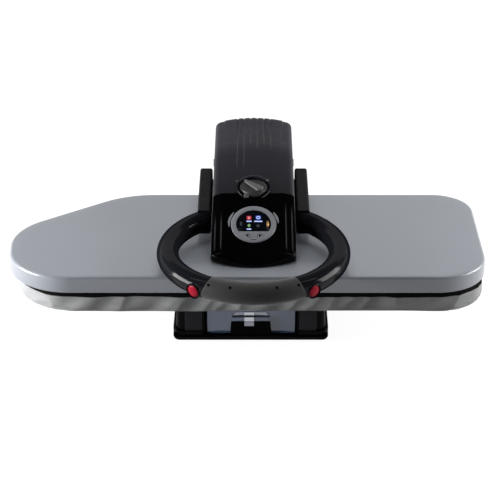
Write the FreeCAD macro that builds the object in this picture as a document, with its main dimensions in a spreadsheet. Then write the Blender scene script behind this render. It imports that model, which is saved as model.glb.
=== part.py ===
import FreeCAD, Part
import math
import os
import re
import Sketcher

# Steam ironing press, in millimetres: X to the right, Y to the back, Z up.
# The origin is the middle of the base's footprint, on the floor.

SIZES = {
    # base
    "base_width": 210, "base_length": 336, "base_corner": 14, "foot_height": 2, "foot_radius": 10,
    "foot_inset": 32, "foot_seat": 1, "tray_wall": 3, "tray_height": 11, "rim_low": 8, "cover_top": 50,
    "cover_wall": 2.5, "cover_draft": 2, "clearance": 0.3, "screw_radius": 2, "boss_radius": 5,
    "boss_inset": 15, "post_inset": 15, "post_reach": 58, "post_space": 60, "bolt_radius": 3,
    "bolt_head": 5.5, "bolt_head_height": 2.3,
    "inlet_inset": 37, "inlet_width": 28, "inlet_height": 20, "inlet_base": 14, "inlet_depth": 16,
    "pump_side": -50, "pump_space": 24, "pump_length": 50, "pump_radius": 13, "pump_lift": 25,
    "hose_radius": 4, "circuit_side": 54, "circuit_space": 54, "circuit_size": 56,
    "circuit_lift": 12, "circuit_thickness": 1.6,
    # water tank and its bay
    "tank_width": 122, "tank_length": 142, "tank_inset": 12, "tank_height": 33, "tank_wall": 2,
    "tank_corner": 4, "lid_thickness": 2, "bay_wall": 2, "bay_play": 1.5, "valve_radius": 4,
    "valve_length": 8, "valve_lift": 16, "cap_radius": 11, "cap_inset": 36,
    "grip_top_width": 52, "grip_foot_width": 57, "grip_height": 19, "grip_depth": 12,
    # hinge column
    "hinge_inset": 48, "hinge_lift": 13, "pin_radius": 5, "run_gap": 0.05,
    "column_gap": 5.9, "column_depth": 36, "column_steel": 4, "frame_reach": 48,
    "frame_heel": 40, "sleeve_drop": 34, "sleeve_wall": 2.5, "clip_radius": 8,
    "clip_thickness": 1.2, "bush_radius": 7, "bush_flange": 9, "spring_inner": 5.4,
    "spring_outer": 9.5, "spring_length": 28,
    # pressing surfaces
    "plate_right": 314.2, "plate_length": 641, "nose_sharp": 4, "plate_front": -204,
    "plate_depth": 269.3, "nose_depth": 148.5, "nose_front_run": 12.3, "nose_back_run": 152,
    "front_nose_round": 88, "tip_round": 92, "back_nose_round": 118, "back_round": 55,
    "front_round": 69, "press_gap": 1, "plate_thickness": 24.2, "skin": 2, "skin_lift": 2,
    "skin_edge": 3.5, "sole_thickness": 8.6, "sole_edge": 3,
    "board_top": 87.4, "board_skirt": 57.4, "board_inset": 6.5, "board_shift": 4, "board_edge": 8,
    "cloth": 2.4, "beam_steel": 3.4, "sheet_steel": 1.5, "sheet_inset": 18, "vent_radius": 5,
    "vent_pitch": 40,
    "steam_hole": 1.5, "steam_pitch": 30, "heater_radius": 3.5, "heater_bend": 60,
    "heater_reach": 180, "chamber_half": 125, "chamber_front": -105, "chamber_back": -35,
    "chamber_height": 8, "mat_height": 4.6, "thermostat_radius": 9,
    # arm, hood and control pod
    "arm_side": 3.8, "bracket_height": 4.4, "arm_steel": 3, "bush_shoulder": 5, "arm_front": -140,
    "web_space": 30, "ear_reach": 14, "ear_rise": 16, "bracket_half": 30, "bracket_front": -130,
    "bracket_back": -10, "bracket_bolt_side": 22, "bracket_bolt_inset": 12,
    "hood_half": 56.4, "hood_lift": 1.9, "hood_wall": 2.5, "hood_round": 9, "hood_reach": 30,
    "hood_rise_back": 30, "rise_height": 84, "crest_space": 5, "crest_height": 90,
    "tail_height": 71, "heel_rise": 10, "heel_reach": 12, "kink_back": -72.5, "kink_rise": 58,
    "pod_nose": -176, "nose_rise": 3.5, "pod_round": 22, "floor_front": -148, "floor_space": 52,
    "bezel_back": -119, "bezel_radius": 30.7, "bezel_plug": 27.5, "bezel_lift": 2,
    "bezel_sink": 4, "lens_radius": 23, "lens_flat": 10.6, "key_radius": 3.5, "key_side": 8.6,
    "key_drop": 19.6, "key_length": 5.9, "key_proud": 0.6,
    "knob_back": -58, "knob_lift": 55.6, "knob_tilt": 6, "knob_radius": 18.8,
    "knob_rise": 9.3, "dial_radius": 23.9, "dial_wall": 1.8, "dial_depth": 6, "shaft_radius": 3,
    "shaft_drop": 20, "valve_box": 22, "valve_box_height": 20,
    # handle
    "lever_back": 50, "lever_lift": 19, "lever_pin": 6, "lever_clear": 2.1,
    "lever_thickness": 18, "lever_drop": 18, "lever_crown": 17, "lever_reach": 4.1,
    "lever_tail": 15, "lever_round": 3, "tube_reach": 3.8, "ring_radius": 113.4,
    "tube_radius": 14.5, "core_radius": 5, "ring_joint": -76.9, "ring_lift": 15.5,
    "ring_tilt": 2, "grip_half_angle": 31.3, "core_inset": 13, "tube_inset": 9.7,
    "button_angle": 36.5, "button_lift": -4, "button_radius": 8.9, "collar_radius": 10.5,
    "collar_out": 15.8, "button_out": 14.2, "button_thickness": 5.2, "screw_lift": 48,
    "grip_screw_radius": 2.4, "outer_screw_angle": 27.4, "inner_screw_angle": 13.9,
}

# Places and sizes that follow the ones above
TIED = {
    "post_side": "base_width / 2 - post_inset",
    "post_front": "-base_length / 2 + post_reach",
    "inlet_side": "base_width / 2 - inlet_inset",
    "tank_front": "-base_length / 2 + tank_inset",
    "pump_front": "tank_front + tank_length + pump_space",
    "cap_back": "tank_front + tank_length - cap_inset",
    "circuit_back": "tank_front + tank_length + circuit_space",
    "hinge_back": "base_length / 2 - hinge_inset",
    "post_back": "hinge_back - post_space",
    "frame_front": "hinge_back - frame_reach",
    "frame_back": "hinge_back + frame_heel",
    "web_back": "hinge_back - web_space",
    "ear_back": "hinge_back + ear_reach",
    "hood_back": "hinge_back + hood_reach",
    "hood_crest_back": "hinge_back - crest_space",
    "floor_back": "hinge_back - floor_space",
    "plate_base": "board_top + press_gap",
    "plate_top": "plate_base + plate_thickness",
    "arm_base": "plate_top + bracket_height",
    "hood_base": "plate_top + hood_lift",
    "hinge_height": "arm_base + hinge_lift",
    "ear_top": "hinge_height + ear_rise",
    "sleeve_top": "hinge_height - sleeve_drop",
    "nose_height": "hood_base + nose_rise",
    "kink_height": "arm_base + kink_rise",
    "hood_rise": "arm_base + rise_height",
    "hood_crest": "arm_base + crest_height",
    "hood_tail": "arm_base + tail_height",
    "knob_height": "arm_base + knob_lift",
    "lever_height": "arm_base + lever_lift",
    "lever_base": "lever_height - lever_drop",
    "lever_top": "lever_height + lever_crown",
    "ring_height": "arm_base + ring_lift",
    "column_width": "2 * (hood_half - hood_wall - column_gap)",
    "arm_width": "column_width - 2 * (column_steel + bush_shoulder)",
    "lever_gap": "hood_half + lever_clear",
    "lever_front": "ring_joint - lever_reach",
    "lever_end": "lever_back + lever_tail",
    "tube_end": "ring_joint + tube_reach",
    "ring_back": "ring_joint - sqrt(ring_radius ^ 2 - (lever_gap + lever_thickness / 2) ^ 2)",
    "core_end_angle": "180 - asin((lever_gap + lever_thickness - core_inset) / ring_radius) / 1 deg",
    "tube_end_angle": "180 - asin((lever_gap - tube_inset) / ring_radius) / 1 deg",
}

doc = FreeCAD.newDocument("steam_ironing_press")
sheet = doc.addObject("Spreadsheet::Sheet", "sizes")
cells = [(alias, str(number)) for alias, number in SIZES.items()]
cells += [(alias, "=" + formula) for alias, formula in TIED.items()]
for row, (alias, content) in enumerate(cells, start=1):
    sheet.set("A%d" % row, alias)
    sheet.set("B%d" % row, content)
    sheet.setAlias("B%d" % row, alias)
doc.recompute()
names = set(SIZES) | set(TIED)

parts = []


def bound(text):
    """An expression written with plain size names, as the document follows it."""
    return re.sub(r"[a-z_]+", lambda word: "sizes." + word[0] if word[0] in names else word[0], text)


def value(text):
    return float(sheet.evalExpression(bound(text)))


def vector(x, y, z="0"):
    return FreeCAD.Vector(value(x), value(y), value(z))


def keep(obj, name):
    """Label a finished piece and list it for writing."""
    obj.Label = name
    parts.append(obj)


def place(obj, x="0", y="0", z="0", axis=(0, 0, 1), turn="0"):
    rotation = FreeCAD.Rotation(FreeCAD.Vector(*axis), value(turn))
    obj.Placement = FreeCAD.Placement(vector(x, y, z), rotation)
    for letter, text in zip("xyz", (x, y, z)):
        obj.setExpression("Placement.Base." + letter, bound(text))
    return obj


# Plain solids and how they combine

def box(name, x, y, z):
    """A block between two X, two Y and two Z values."""
    obj = doc.addObject("Part::Box", name)
    for side, (low, high) in zip(("Length", "Width", "Height"), (x, y, z)):
        obj.setExpression(side, bound("(%s) - (%s)" % (high, low)))
    return place(obj, x[0], y[0], z[0])


def cylinder(name, radius, length, x="0", y="0", z="0", axis=(0, 0, 1), turn="0"):
    """A round bar from its start point, along Z unless it is turned about an axis."""
    obj = doc.addObject("Part::Cylinder", name)
    obj.setExpression("Radius", bound(radius))
    obj.setExpression("Height", bound(length))
    return place(obj, x, y, z, axis, turn)


def post(name, radius, x, y, low, high):
    return cylinder(name, radius, "(%s) - (%s)" % (high, low), x, y, low)


def bar_along_x(name, radius, low, high, y, z):
    return cylinder(name, radius, "(%s) - (%s)" % (high, low), low, y, z, (0, 1, 0), "90")


def bar_along_y(name, radius, low, high, x, z):
    return cylinder(name, radius, "(%s) - (%s)" % (high, low), x, low, z, (1, 0, 0), "-90")


def combine(kind, first, *others):
    for other in others:
        obj = doc.addObject(kind, first.Name + "_with")
        obj.Base = first
        obj.Tool = other
        first = obj
    return first


def fuse(first, *others):
    return combine("Part::Fuse", first, *others)


def cut(first, *others):
    return combine("Part::Cut", first, *others)


def common(first, *others):
    return combine("Part::Common", first, *others)


def group(solids, name):
    """Separate solids kept in one piece's file."""
    obj = doc.addObject("Part::Compound", name + "_group")
    obj.Links = solids
    keep(obj, name)


# Sketched solids

def new_body(name):
    return doc.addObject("PartDesign::Body", name)


def sketch(body, role, height="0"):
    """A sketch on one of the body's own planes, raised along the plane's normal."""
    obj = body.newObject("Sketcher::SketchObject", body.Name + "_sketch")
    plane = [f for f in body.Origin.OriginFeatures if f.Role == role][0]
    obj.AttachmentSupport = [(plane, "")]
    obj.MapMode = "FlatFace"
    obj.setExpression("AttachmentOffset.Base.z", bound(height))
    return obj


def pin_point(obj, geometry, point, x, y):
    """Hold one point of a sketch at its two distances from the origin."""
    for kind, text in (("DistanceX", x), ("DistanceY", y)):
        constraint = Sketcher.Constraint(kind, -1, 1, geometry, point, value(text))
        number = obj.addConstraint(constraint)
        obj.setExpression("Constraints[%d]" % number, bound(text))


def polygon(obj, points):
    """A closed outline through the points."""
    corners = [vector(x, y) for x, y in points]
    first = obj.GeometryCount
    count = len(points)
    for here in range(count):
        obj.addGeometry(Part.LineSegment(corners[here], corners[(here + 1) % count]), False)
    for here in range(count):
        after = first + (here + 1) % count
        obj.addConstraint(Sketcher.Constraint("Coincident", first + here, 2, after, 1))
    for here, (x, y) in enumerate(points):
        pin_point(obj, first + here, 1, x, y)


def circle(obj, x, y, radius):
    disc = Part.Circle(vector(x, y), FreeCAD.Vector(0, 0, 1), value(radius))
    number = obj.addGeometry(disc, False)
    size = obj.addConstraint(Sketcher.Constraint("Radius", number, value(radius)))
    obj.setExpression("Constraints[%d]" % size, bound(radius))
    pin_point(obj, number, 3, x, y)


def pad(body, profile, length, both_sides=False, draft="0"):
    obj = body.newObject("PartDesign::Pad", body.Name + "_pad")
    obj.Profile = profile
    obj.setExpression("Length", bound(length))
    obj.setExpression("TaperAngle", bound(draft))
    if both_sides:
        obj.SideType = "Symmetric"
    doc.recompute()


def pocket(body, profile, depth, both_sides=False, upward=False):
    """Cut a sketch down into the body, upward from it or to both sides, and prove that it cut."""
    before = body.Shape.Volume
    obj = body.newObject("PartDesign::Pocket", body.Name + "_pocket")
    obj.Profile = profile
    obj.setExpression("Length", bound(depth))
    if both_sides:
        obj.SideType = "Symmetric"
    obj.Reversed = upward
    doc.recompute()
    if body.Shape.Volume > before - 0.1:
        raise ValueError("a pocket in %s removed nothing" % body.Name)


def soften(body, radius, wanted):
    """Round the edges that a test picks."""
    edges = ["Edge%d" % n for n, edge in enumerate(body.Shape.Edges, start=1) if wanted(edge.BoundBox)]
    if not edges:
        raise ValueError("no edge of %s was picked to round" % body.Name)
    base = body.Tip
    obj = body.newObject("PartDesign::Fillet", body.Name + "_fillet")
    obj.Base = (base, edges)
    obj.setExpression("Radius", bound(radius))
    doc.recompute()


def upright(room):
    return room.ZLength > 1


def upright_near(x, y):
    """A test for the upright edge at one corner of a plan."""
    return lambda room: room.ZLength > 1 and math.hypot(
        room.Center.x - value(x), room.Center.y - value(y)) < 1


def level_at(z):
    """A test for the edges that lie flat at one height."""
    return lambda room: room.ZLength < 0.01 and abs(room.Center.z - value(z)) < 0.01


# Pieces that follow a bent path

def bent_path(points, radius):
    """Straight runs through the points, joined by tangent arcs."""
    edges = []
    start = points[0]
    for before, corner, after in zip(points, points[1:], points[2:]):
        back = (before - corner).normalize()
        ahead = (after - corner).normalize()
        half = back.getAngle(ahead) / 2
        reach = radius / math.tan(half)
        first = corner + back * reach
        last = corner + ahead * reach
        inward = (back + ahead).normalize()
        middle = corner + inward * (radius / math.sin(half) - radius)
        edges.append(Part.LineSegment(start, first).toShape())
        edges.append(Part.Arc(first, middle, last).toShape())
        start = last
    edges.append(Part.LineSegment(start, points[-1]).toShape())
    return Part.Wire(edges)


def bent_rod(name, points, bend, radius):
    """A round rod or hose along a bent path."""
    path = bent_path([vector(*point) for point in points], value(bend))
    along = path.Edges[0].tangentAt(path.Edges[0].FirstParameter)
    start = path.Edges[0].valueAt(path.Edges[0].FirstParameter)
    ring = Part.Wire(Part.makeCircle(value(radius), start, along))
    obj = doc.addObject("Part::Feature", name + "_shape")
    obj.Shape = path.makePipeShell([ring], True, True)
    keep(obj, name)


# Base: tray, feet, cover and what stands in it

TRAY_TOP = "foot_height + tray_wall"
INNER_HALF = "base_width / 2 - tray_wall"
INNER_LONG = "base_length / 2 - tray_wall"
BAY_HALF = "tank_width / 2 + bay_play"
BAY_FLOOR = "rim_low + 0.2"
TANK_BASE = "rim_low + 0.2 + clearance"
TANK_TOP = TANK_BASE + " + tank_height"
TANK_BACK = "tank_front + tank_length"
COVER_UNDER = "cover_top - cover_wall"
HINGE_LEFT = "arm_side - column_width / 2"
HINGE_RIGHT = "arm_side + column_width / 2"


def both(text):
    """The two ends of a span that is centred on zero."""
    return "-(%s)" % text, text


def about(middle, half):
    return "(%s) - (%s)" % (middle, half), "(%s) + (%s)" % (middle, half)


def block(name, half_x, half_y, low, high, corner, draft="0"):
    """A centred block with rounded upright corners."""
    body = new_body(name)
    plan = sketch(body, "XY_Plane", low)
    left, right = both(half_x)
    front, back = both(half_y)
    polygon(plan, [(left, front), (right, front), (right, back), (left, back)])
    pad(body, plan, "(%s) - (%s)" % (high, low), draft=draft)
    soften(body, corner, upright)
    return body


def corners(x, y):
    return [(side + "(%s)" % x, end + "(%s)" % y) for side in ("", "-") for end in ("", "-")]


SCREW_PLACES = corners("base_width / 2 - boss_inset", "base_length / 2 - boss_inset")
POST_PLACES = [(side + "post_side", end) for side in ("", "-") for end in ("post_front", "post_back")]
FOOT_PLACES = corners("base_width / 2 - foot_inset", "base_length / 2 - foot_inset")
CIRCUIT_PLACES = [("circuit_side + " + x, "circuit_back + " + y)
                  for x, y in corners("circuit_size / 2 - 5", "circuit_size / 2 - 5")]


def saddle_block(name, room, top):
    """The block under the pump, or the window that leaves room for it."""
    return box(name, about("pump_side", "pump_radius * 0.8 + " + room),
               ("pump_front + 10 - " + room, "pump_front + pump_length - 10 + " + room), (TRAY_TOP, top))


def base_tray():
    outer = block("tray", "base_width / 2", "base_length / 2", "foot_height",
                  "foot_height + tray_height", "base_corner")
    soften(outer, "1", level_at("foot_height"))
    inner = block("tray_inside", INNER_HALF, INNER_LONG, TRAY_TOP, "foot_height + tray_height + 1",
                  "base_corner - tray_wall")
    notch = box("tray_notch", both(BAY_HALF + " + bay_wall"),
                ("-base_length / 2 - 1", "-base_length / 2 + tray_wall + 1"),
                ("rim_low", "foot_height + tray_height + 1"))
    holes = [post("screw_hole", "screw_radius + run_gap", x, y, "0", TRAY_TOP + " + 1")
             for x, y in SCREW_PLACES]
    sinks = [post("screw_sink", "screw_radius * 2", x, y, "0", "foot_height + 1.6") for x, y in SCREW_PLACES]
    seats = [post("foot_recess", "foot_radius + clearance", x, y, "0", "foot_height + foot_seat")
             for x, y in FOOT_PLACES]
    shell = cut(outer, inner, notch, *holes, *sinks, *seats)
    saddle = cut(saddle_block("pump_saddle", "0", "pump_lift - 5"),
                 bar_along_y("pump_seat", "pump_radius + run_gap", "pump_front", "pump_front + pump_length",
                             "pump_side", "pump_lift"))
    stands = [post("circuit_stand", "screw_radius * 1.5", x, y, TRAY_TOP, "circuit_lift")
              for x, y in CIRCUIT_PLACES]
    keep(fuse(shell, saddle, *stands), "base_tray")


def rubber_feet():
    """Four pads glued into shallow recesses in the tray's underside."""
    body = new_body("feet")
    plan = sketch(body, "XY_Plane")
    for x, y in FOOT_PLACES:
        circle(plan, x, y, "foot_radius")
    pad(body, plan, "foot_height + foot_seat")
    soften(body, "0.5", level_at("0"))
    keep(body, "rubber_feet")


def base_screws():
    screws = [fuse(post("screw_shank", "screw_radius", x, y, "foot_height + 0.2", "20"),
                   post("screw_head", "screw_radius * 1.9", x, y, "foot_height + 0.2", "foot_height + 1.5"))
              for x, y in SCREW_PLACES]
    group(screws, "base_screws")


def base_cover():
    """The upper shell of the base, with its screw bosses and the posts that carry the board."""
    outer = block("cover", INNER_HALF + " - clearance", INNER_LONG + " - clearance", TRAY_TOP,
                  "cover_top", "base_corner - tray_wall", "-cover_draft")
    soften(outer, "3", level_at("cover_top"))
    inner = block("cover_inside", INNER_HALF + " - clearance - cover_wall",
                  INNER_LONG + " - clearance - cover_wall", TRAY_TOP + " - 1", COVER_UNDER,
                  "base_corner - tray_wall - cover_wall", "-cover_draft")
    shell = cut(outer, inner)
    bosses = [post("cover_boss", "boss_radius", x, y, TRAY_TOP, COVER_UNDER + " + 1")
              for x, y in SCREW_PLACES + POST_PLACES]
    threads = [post("boss_thread", "screw_radius + run_gap", x, y, "0", "22") for x, y in SCREW_PLACES]
    sockets = [post("post_socket", "bolt_radius + run_gap", x, y, "30", "cover_top + 1")
               for x, y in POST_PLACES]
    mouth = box("tank_mouth", both(BAY_HALF + " + bay_wall + clearance"),
                ("-base_length / 2", "-base_length / 2 + 14"), (TRAY_TOP + " - 1", COVER_UNDER))
    well = box("column_well", about("arm_side", "column_width / 2 + 2"),
               about("hinge_back", "column_depth / 2 + 2"), (COVER_UNDER + " - 2", "cover_top + 1"))
    inlet = box("inlet_hole", about("inlet_side", "inlet_width / 2 + 0.2"),
                ("base_length / 2 - 12", "base_length / 2"),
                ("inlet_base - 0.2", "inlet_base + inlet_height + 0.2"))
    keep(cut(fuse(shell, *bosses), *threads, *sockets, mouth, well, inlet), "base_cover")


def tank_bay():
    """The open-fronted box that the tank slides into."""
    low, high = TRAY_TOP, TANK_TOP + " + lid_thickness + clearance * 2 + bay_wall"
    front = "-base_length / 2 + tray_wall + clearance * 2"
    back = TANK_BACK + " + clearance * 2"
    outer = box("bay", both(BAY_HALF + " + bay_wall"), (front, back + " + bay_wall"), (low, high))
    inner = box("bay_inside", both(BAY_HALF), ("-base_length / 2", back), (BAY_FLOOR, high + " - bay_wall"))
    hole = bar_along_y("bay_hole", "valve_radius + clearance", back + " - 1", back + " + bay_wall + 1",
                       "0", "valve_lift")
    keep(cut(outer, inner, hole), "tank_bay")


def pump():
    back = "pump_front + pump_length"
    barrel = bar_along_y("pump_barrel", "pump_radius", "pump_front", back, "pump_side", "pump_lift")
    port = bar_along_y("pump_port", "hose_radius - 1", back + " - 1", back + " + 8", "pump_side", "pump_lift")
    keep(fuse(barrel, port), "pump")


def feed_hose():
    """The water hose from the pump to the column."""
    start = "pump_front + pump_length + 8 + clearance"
    bent_rod("feed_hose", [("pump_side", start, "pump_lift"), ("pump_side", "hinge_back - 30", "pump_lift"),
                           ("arm_side - 25", "hinge_back - 30", "pump_lift"),
                           ("arm_side - 25", "hinge_back - 8", "pump_lift"),
                           ("arm_side - 25", "hinge_back - 8", "hinge_height - 24")], "8", "hose_radius - 1")


def control_board():
    """The power board on its stands, with a relay and a coil."""
    half = "circuit_size / 2"
    foot = "circuit_lift + circuit_thickness - 0.5"
    plate = box("circuit_plate", about("circuit_side", half), about("circuit_back", half),
                ("circuit_lift", "circuit_lift + circuit_thickness"))
    relay = box("circuit_relay", about("circuit_side - 14", "9"), about("circuit_back", "8"),
                (foot, "circuit_lift + 17"))
    coil = box("circuit_coil", about("circuit_side + 12", "8"), about("circuit_back + 10", "8"),
               (foot, "circuit_lift + 14"))
    keep(fuse(plate, relay, coil), "control_board")


def power_inlet():
    """A three pin appliance inlet let into the rear wall."""
    face = "base_length / 2 - tray_wall - clearance"
    rear = face + " - inlet_depth"
    shell = box("inlet_shell", about("inlet_side", "inlet_width / 2"), (rear, face + " + 1"),
                ("inlet_base", "inlet_base + inlet_height"))
    well = box("inlet_well", about("inlet_side", "inlet_width / 2 - 3"), (rear + " + 3", face + " + 2"),
               ("inlet_base + 3", "inlet_base + inlet_height - 3"))
    blades = [box("inlet_blade", about("inlet_side + %d" % side, "1"), (rear + " + 2", face + " - 5"),
                  about("inlet_base + inlet_height / 2 + %d" % lift, "2"))
              for side, lift in ((-7, -1), (0, 2), (7, -1))]
    keep(fuse(cut(shell, well), *blades), "power_inlet")


# Hinge column

def hinge_frame():
    """A steel foot with two cheeks that carry the hinge pin."""
    body = new_body("frame")
    side = sketch(body, "YZ_Plane", "arm_side")
    front, back = about("hinge_back", "column_depth / 2")
    step = TRAY_TOP + " + column_steel"
    crown = "hinge_height + column_depth / 2 - 2"
    polygon(side, [("frame_front", TRAY_TOP), ("frame_back", TRAY_TOP), ("frame_back", step), (back, step),
                   (back, crown), (front, crown), (front, step), ("frame_front", step)])
    pad(body, side, "column_width", both_sides=True)
    soften(body, "column_depth / 2 - 3", lambda room: room.XLength > 50
           and abs(room.Center.z - value(crown)) < 0.1)
    middle = box("frame_middle", about("arm_side", "column_width / 2 - column_steel"),
                 (front + " - 1", back + " + 1"), (step, "hinge_height + column_depth"))
    bore = bar_along_x("frame_bore", "pin_radius + run_gap", HINGE_LEFT + " - 1", HINGE_RIGHT + " + 1",
                       "hinge_back", "hinge_height")
    windows = [post("stand_window", "screw_radius * 1.5 + clearance", x, y, TRAY_TOP, step)
               for x, y in CIRCUIT_PLACES]
    keep(cut(body, middle, bore, saddle_block("saddle_window", "clearance", step), *windows), "hinge_frame")


def column_cover():
    """The sleeve round the column's foot."""
    gap = "column_width / 2 + clearance"
    deep = "column_depth / 2 + clearance"
    outer = box("sleeve", about("arm_side", gap + " + sleeve_wall"),
                about("hinge_back", deep + " + sleeve_wall"), ("cover_top", "sleeve_top"))
    inner = box("sleeve_inside", about("arm_side", gap), about("hinge_back", deep),
                ("cover_top - 1", "sleeve_top + 1"))
    keep(cut(outer, inner), "column_cover")


def hinge_pin():
    pin = bar_along_x("pin", "pin_radius", HINGE_LEFT + " - 2", HINGE_RIGHT + " + 2",
                      "hinge_back", "hinge_height")
    keep(pin, "hinge_pin")


def pin_clips():
    clips = []
    for end in (HINGE_LEFT + " - 0.2 - clip_thickness", HINGE_RIGHT + " + 0.2"):
        far = end + " + clip_thickness"
        disc = bar_along_x("clip", "clip_radius", end, far, "hinge_back", "hinge_height")
        bore = bar_along_x("clip_bore", "pin_radius + run_gap", end + " - 1", far + " + 1",
                           "hinge_back", "hinge_height")
        clips.append(cut(disc, bore))
    group(clips, "pin_clips")


def lift_springs():
    """Two coil springs round the hinge pin, as the sleeves that their coils fill."""
    coils = []
    for low in ("arm_side - 3 - spring_length", "arm_side + 3"):
        high = low + " + spring_length"
        coil = bar_along_x("coil", "spring_outer", low, high, "hinge_back", "hinge_height")
        eye = bar_along_x("coil_eye", "spring_inner", low + " - 1", high + " + 1",
                          "hinge_back", "hinge_height")
        coils.append(cut(coil, eye))
    group(coils, "lift_springs")


# Board and plate share one outline

def outline_points(inset, shift):
    """The nose tip, front-left, front-right, back-right and back-left corners, moved inwards and right."""
    front_edge = "hypot(nose_front_run; nose_depth) / nose_depth"
    back_edge = "hypot(nose_back_run; plate_depth - nose_depth) / (plate_depth - nose_depth)"
    front_lean = "nose_front_run / nose_depth"
    back_lean = "nose_back_run / (plate_depth - nose_depth)"
    tip_x = "plate_right - plate_length - nose_sharp + (%s)" % shift
    slide = "(%s) * (%s - %s) / (%s + %s)" % (inset, back_edge, front_edge, front_lean, back_lean)
    front = "plate_front + (%s)" % inset
    back = "plate_front + plate_depth - (%s)" % inset
    right = "plate_right - (%s) + (%s)" % (inset, shift)
    return [
        (tip_x + " + (%s) * %s + %s * %s" % (inset, front_edge, front_lean, slide),
         "plate_front + nose_depth - " + slide),
        (tip_x + " + nose_front_run + (%s) * (%s - %s)" % (inset, front_edge, front_lean), front),
        (right, front),
        (right, back),
        (tip_x + " + nose_back_run + (%s) * (%s - %s)" % (inset, back_edge, back_lean), back),
    ]


def outline_solid(name, inset, low, high, shift="0"):
    """A slab with the plate's outline, moved inwards all round and to the right."""
    body = new_body(name)
    plan = sketch(body, "XY_Plane", low)
    points = outline_points(inset, shift)
    polygon(plan, points)
    pad(body, plan, "(%s) - (%s)" % (high, low))
    rounds = ("tip_round", "front_nose_round", "front_round", "back_round", "back_nose_round")
    for (x, y), radius in zip(points, rounds):
        soften(body, "%s - (%s)" % (radius, inset), upright_near(x, y))
    return body


BEAM_TOP = "cover_top + clearance + beam_steel"
SHEET_BASE = BEAM_TOP + " + clearance"
SHEET_TOP = SHEET_BASE + " + sheet_steel"
PLATE_MIDDLE = "(chamber_front + chamber_back) / 2"
SOLE_TOP = "plate_base + sole_thickness"
SKIN_UNDER = "plate_top - skin"
BRACKET_BOLTS = [(about("arm_side", "bracket_bolt_side")[i], y) for i in (0, 1)
                 for y in ("bracket_front + bracket_bolt_inset", "bracket_back - bracket_bolt_inset")]
PIPE_BACK = "knob_back + sin(knob_tilt) * (shaft_drop + valve_box_height - 4)"


def board_frame():
    """The steel plate on the base that the board is bolted to."""
    low, high = "cover_top + clearance", BEAM_TOP
    plate = box("board_beam", both("post_side + 8"), ("post_front - 14", "post_back + 14"), (low, high))
    holes = [post("beam_hole", "bolt_radius + run_gap", x, y, low + " - 1", high + " + 1")
             for x, y in POST_PLACES]
    sinks = [post("beam_sink", "bolt_head + 0.2", x, y, high + " - bolt_head_height - 0.1", high + " + 1")
             for x, y in POST_PLACES]
    keep(cut(plate, *holes, *sinks), "board_frame")
    bolts = [fuse(post("bolt_shank", "bolt_radius", x, y, "32", high + " - 1"),
                  post("bolt_head", "bolt_head", x, y, high + " - bolt_head_height", high))
             for x, y in POST_PLACES]
    group(bolts, "board_bolts")


def board_tray():
    """The sheet under the foam, with rows of steam vents."""
    body = outline_solid("board_sheet", "sheet_inset", SHEET_BASE, SHEET_TOP, "board_shift")
    vents = sketch(body, "XY_Plane", SHEET_TOP)
    for column in range(-4, 7):
        for line in (-1, 0, 1):
            y = PLATE_MIDDLE + " + vent_pitch * %d" % line
            circle(vents, "vent_pitch * %d" % column, y, "vent_radius")
    pocket(body, vents, "sheet_steel + 1")
    keep(body, "board_tray")


def board_pad():
    body = outline_solid("board_foam", "board_inset + cloth + clearance", SHEET_TOP + " + clearance",
                         "board_top - cloth - clearance", "board_shift")
    soften(body, "board_edge - cloth", level_at("board_top - cloth - clearance"))
    keep(body, "board_pad")


def board_cover():
    """The padded cloth cover: a top and a skirt round the foam."""
    outer = outline_solid("board_cloth", "board_inset", "board_skirt", "board_top", "board_shift")
    soften(outer, "board_edge", level_at("board_top"))
    inner = outline_solid("board_cloth_inside", "board_inset + cloth", "board_skirt - 1",
                          "board_top - cloth", "board_shift")
    soften(inner, "board_edge - cloth", level_at("board_top - cloth"))
    keep(cut(outer, inner), "board_cover")


# Water tank

def tank():
    outer = box("tank_outer", both("tank_width / 2"), ("tank_front", TANK_BACK), (TANK_BASE, TANK_TOP))
    rounded = doc.addObject("Part::Fillet", "tank_rounded")
    rounded.Base = outer
    doc.recompute()
    rounded.Edges = [(n, value("tank_corner"), value("tank_corner"))
                     for n, edge in enumerate(outer.Shape.Edges, start=1) if upright(edge.BoundBox)]
    inner = box("tank_inside", both("tank_width / 2 - tank_wall"),
                ("tank_front + tank_wall", TANK_BACK + " - tank_wall"),
                (TANK_BASE + " + tank_wall", TANK_TOP + " + 1"))
    keep(cut(rounded, inner), "tank")


def tank_lid():
    """The lid with the lip that locates it, and the cap over its filling hole."""
    top = TANK_TOP + " + lid_thickness"
    plate = box("lid_plate", both("tank_width / 2 - 0.5"), ("tank_front + 0.5", TANK_BACK + " - 0.5"),
                (TANK_TOP, top))
    lip = box("lid_lip", both("tank_width / 2 - tank_wall - clearance"),
              ("tank_front + tank_wall + clearance", TANK_BACK + " - tank_wall - clearance"),
              (TANK_TOP + " - 2", TANK_TOP))
    mouth = post("lid_mouth", "cap_radius + clearance", "0", "cap_back", TANK_TOP + " - 3", top + " + 1")
    keep(cut(fuse(plate, lip), mouth), "tank_lid")
    keep(post("cap", "cap_radius", "0", "cap_back", TANK_TOP + " - 2", top), "tank_cap")


def tank_grip():
    """The pull on the tank's front, wider at its foot."""
    body = new_body("pull")
    front = sketch(body, "XZ_Plane", "-tank_front")
    top = TANK_BASE + " + grip_height"
    polygon(front, [("-grip_foot_width / 2", TANK_BASE), ("grip_foot_width / 2", TANK_BASE),
                    ("grip_top_width / 2", top), ("-grip_top_width / 2", top)])
    pad(body, front, "grip_depth")
    outer = value("tank_front - grip_depth")
    soften(body, "1.5", lambda room: room.YLength < 0.01 and abs(room.Center.y - outer) < 0.1)
    keep(body, "tank_grip")


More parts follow.
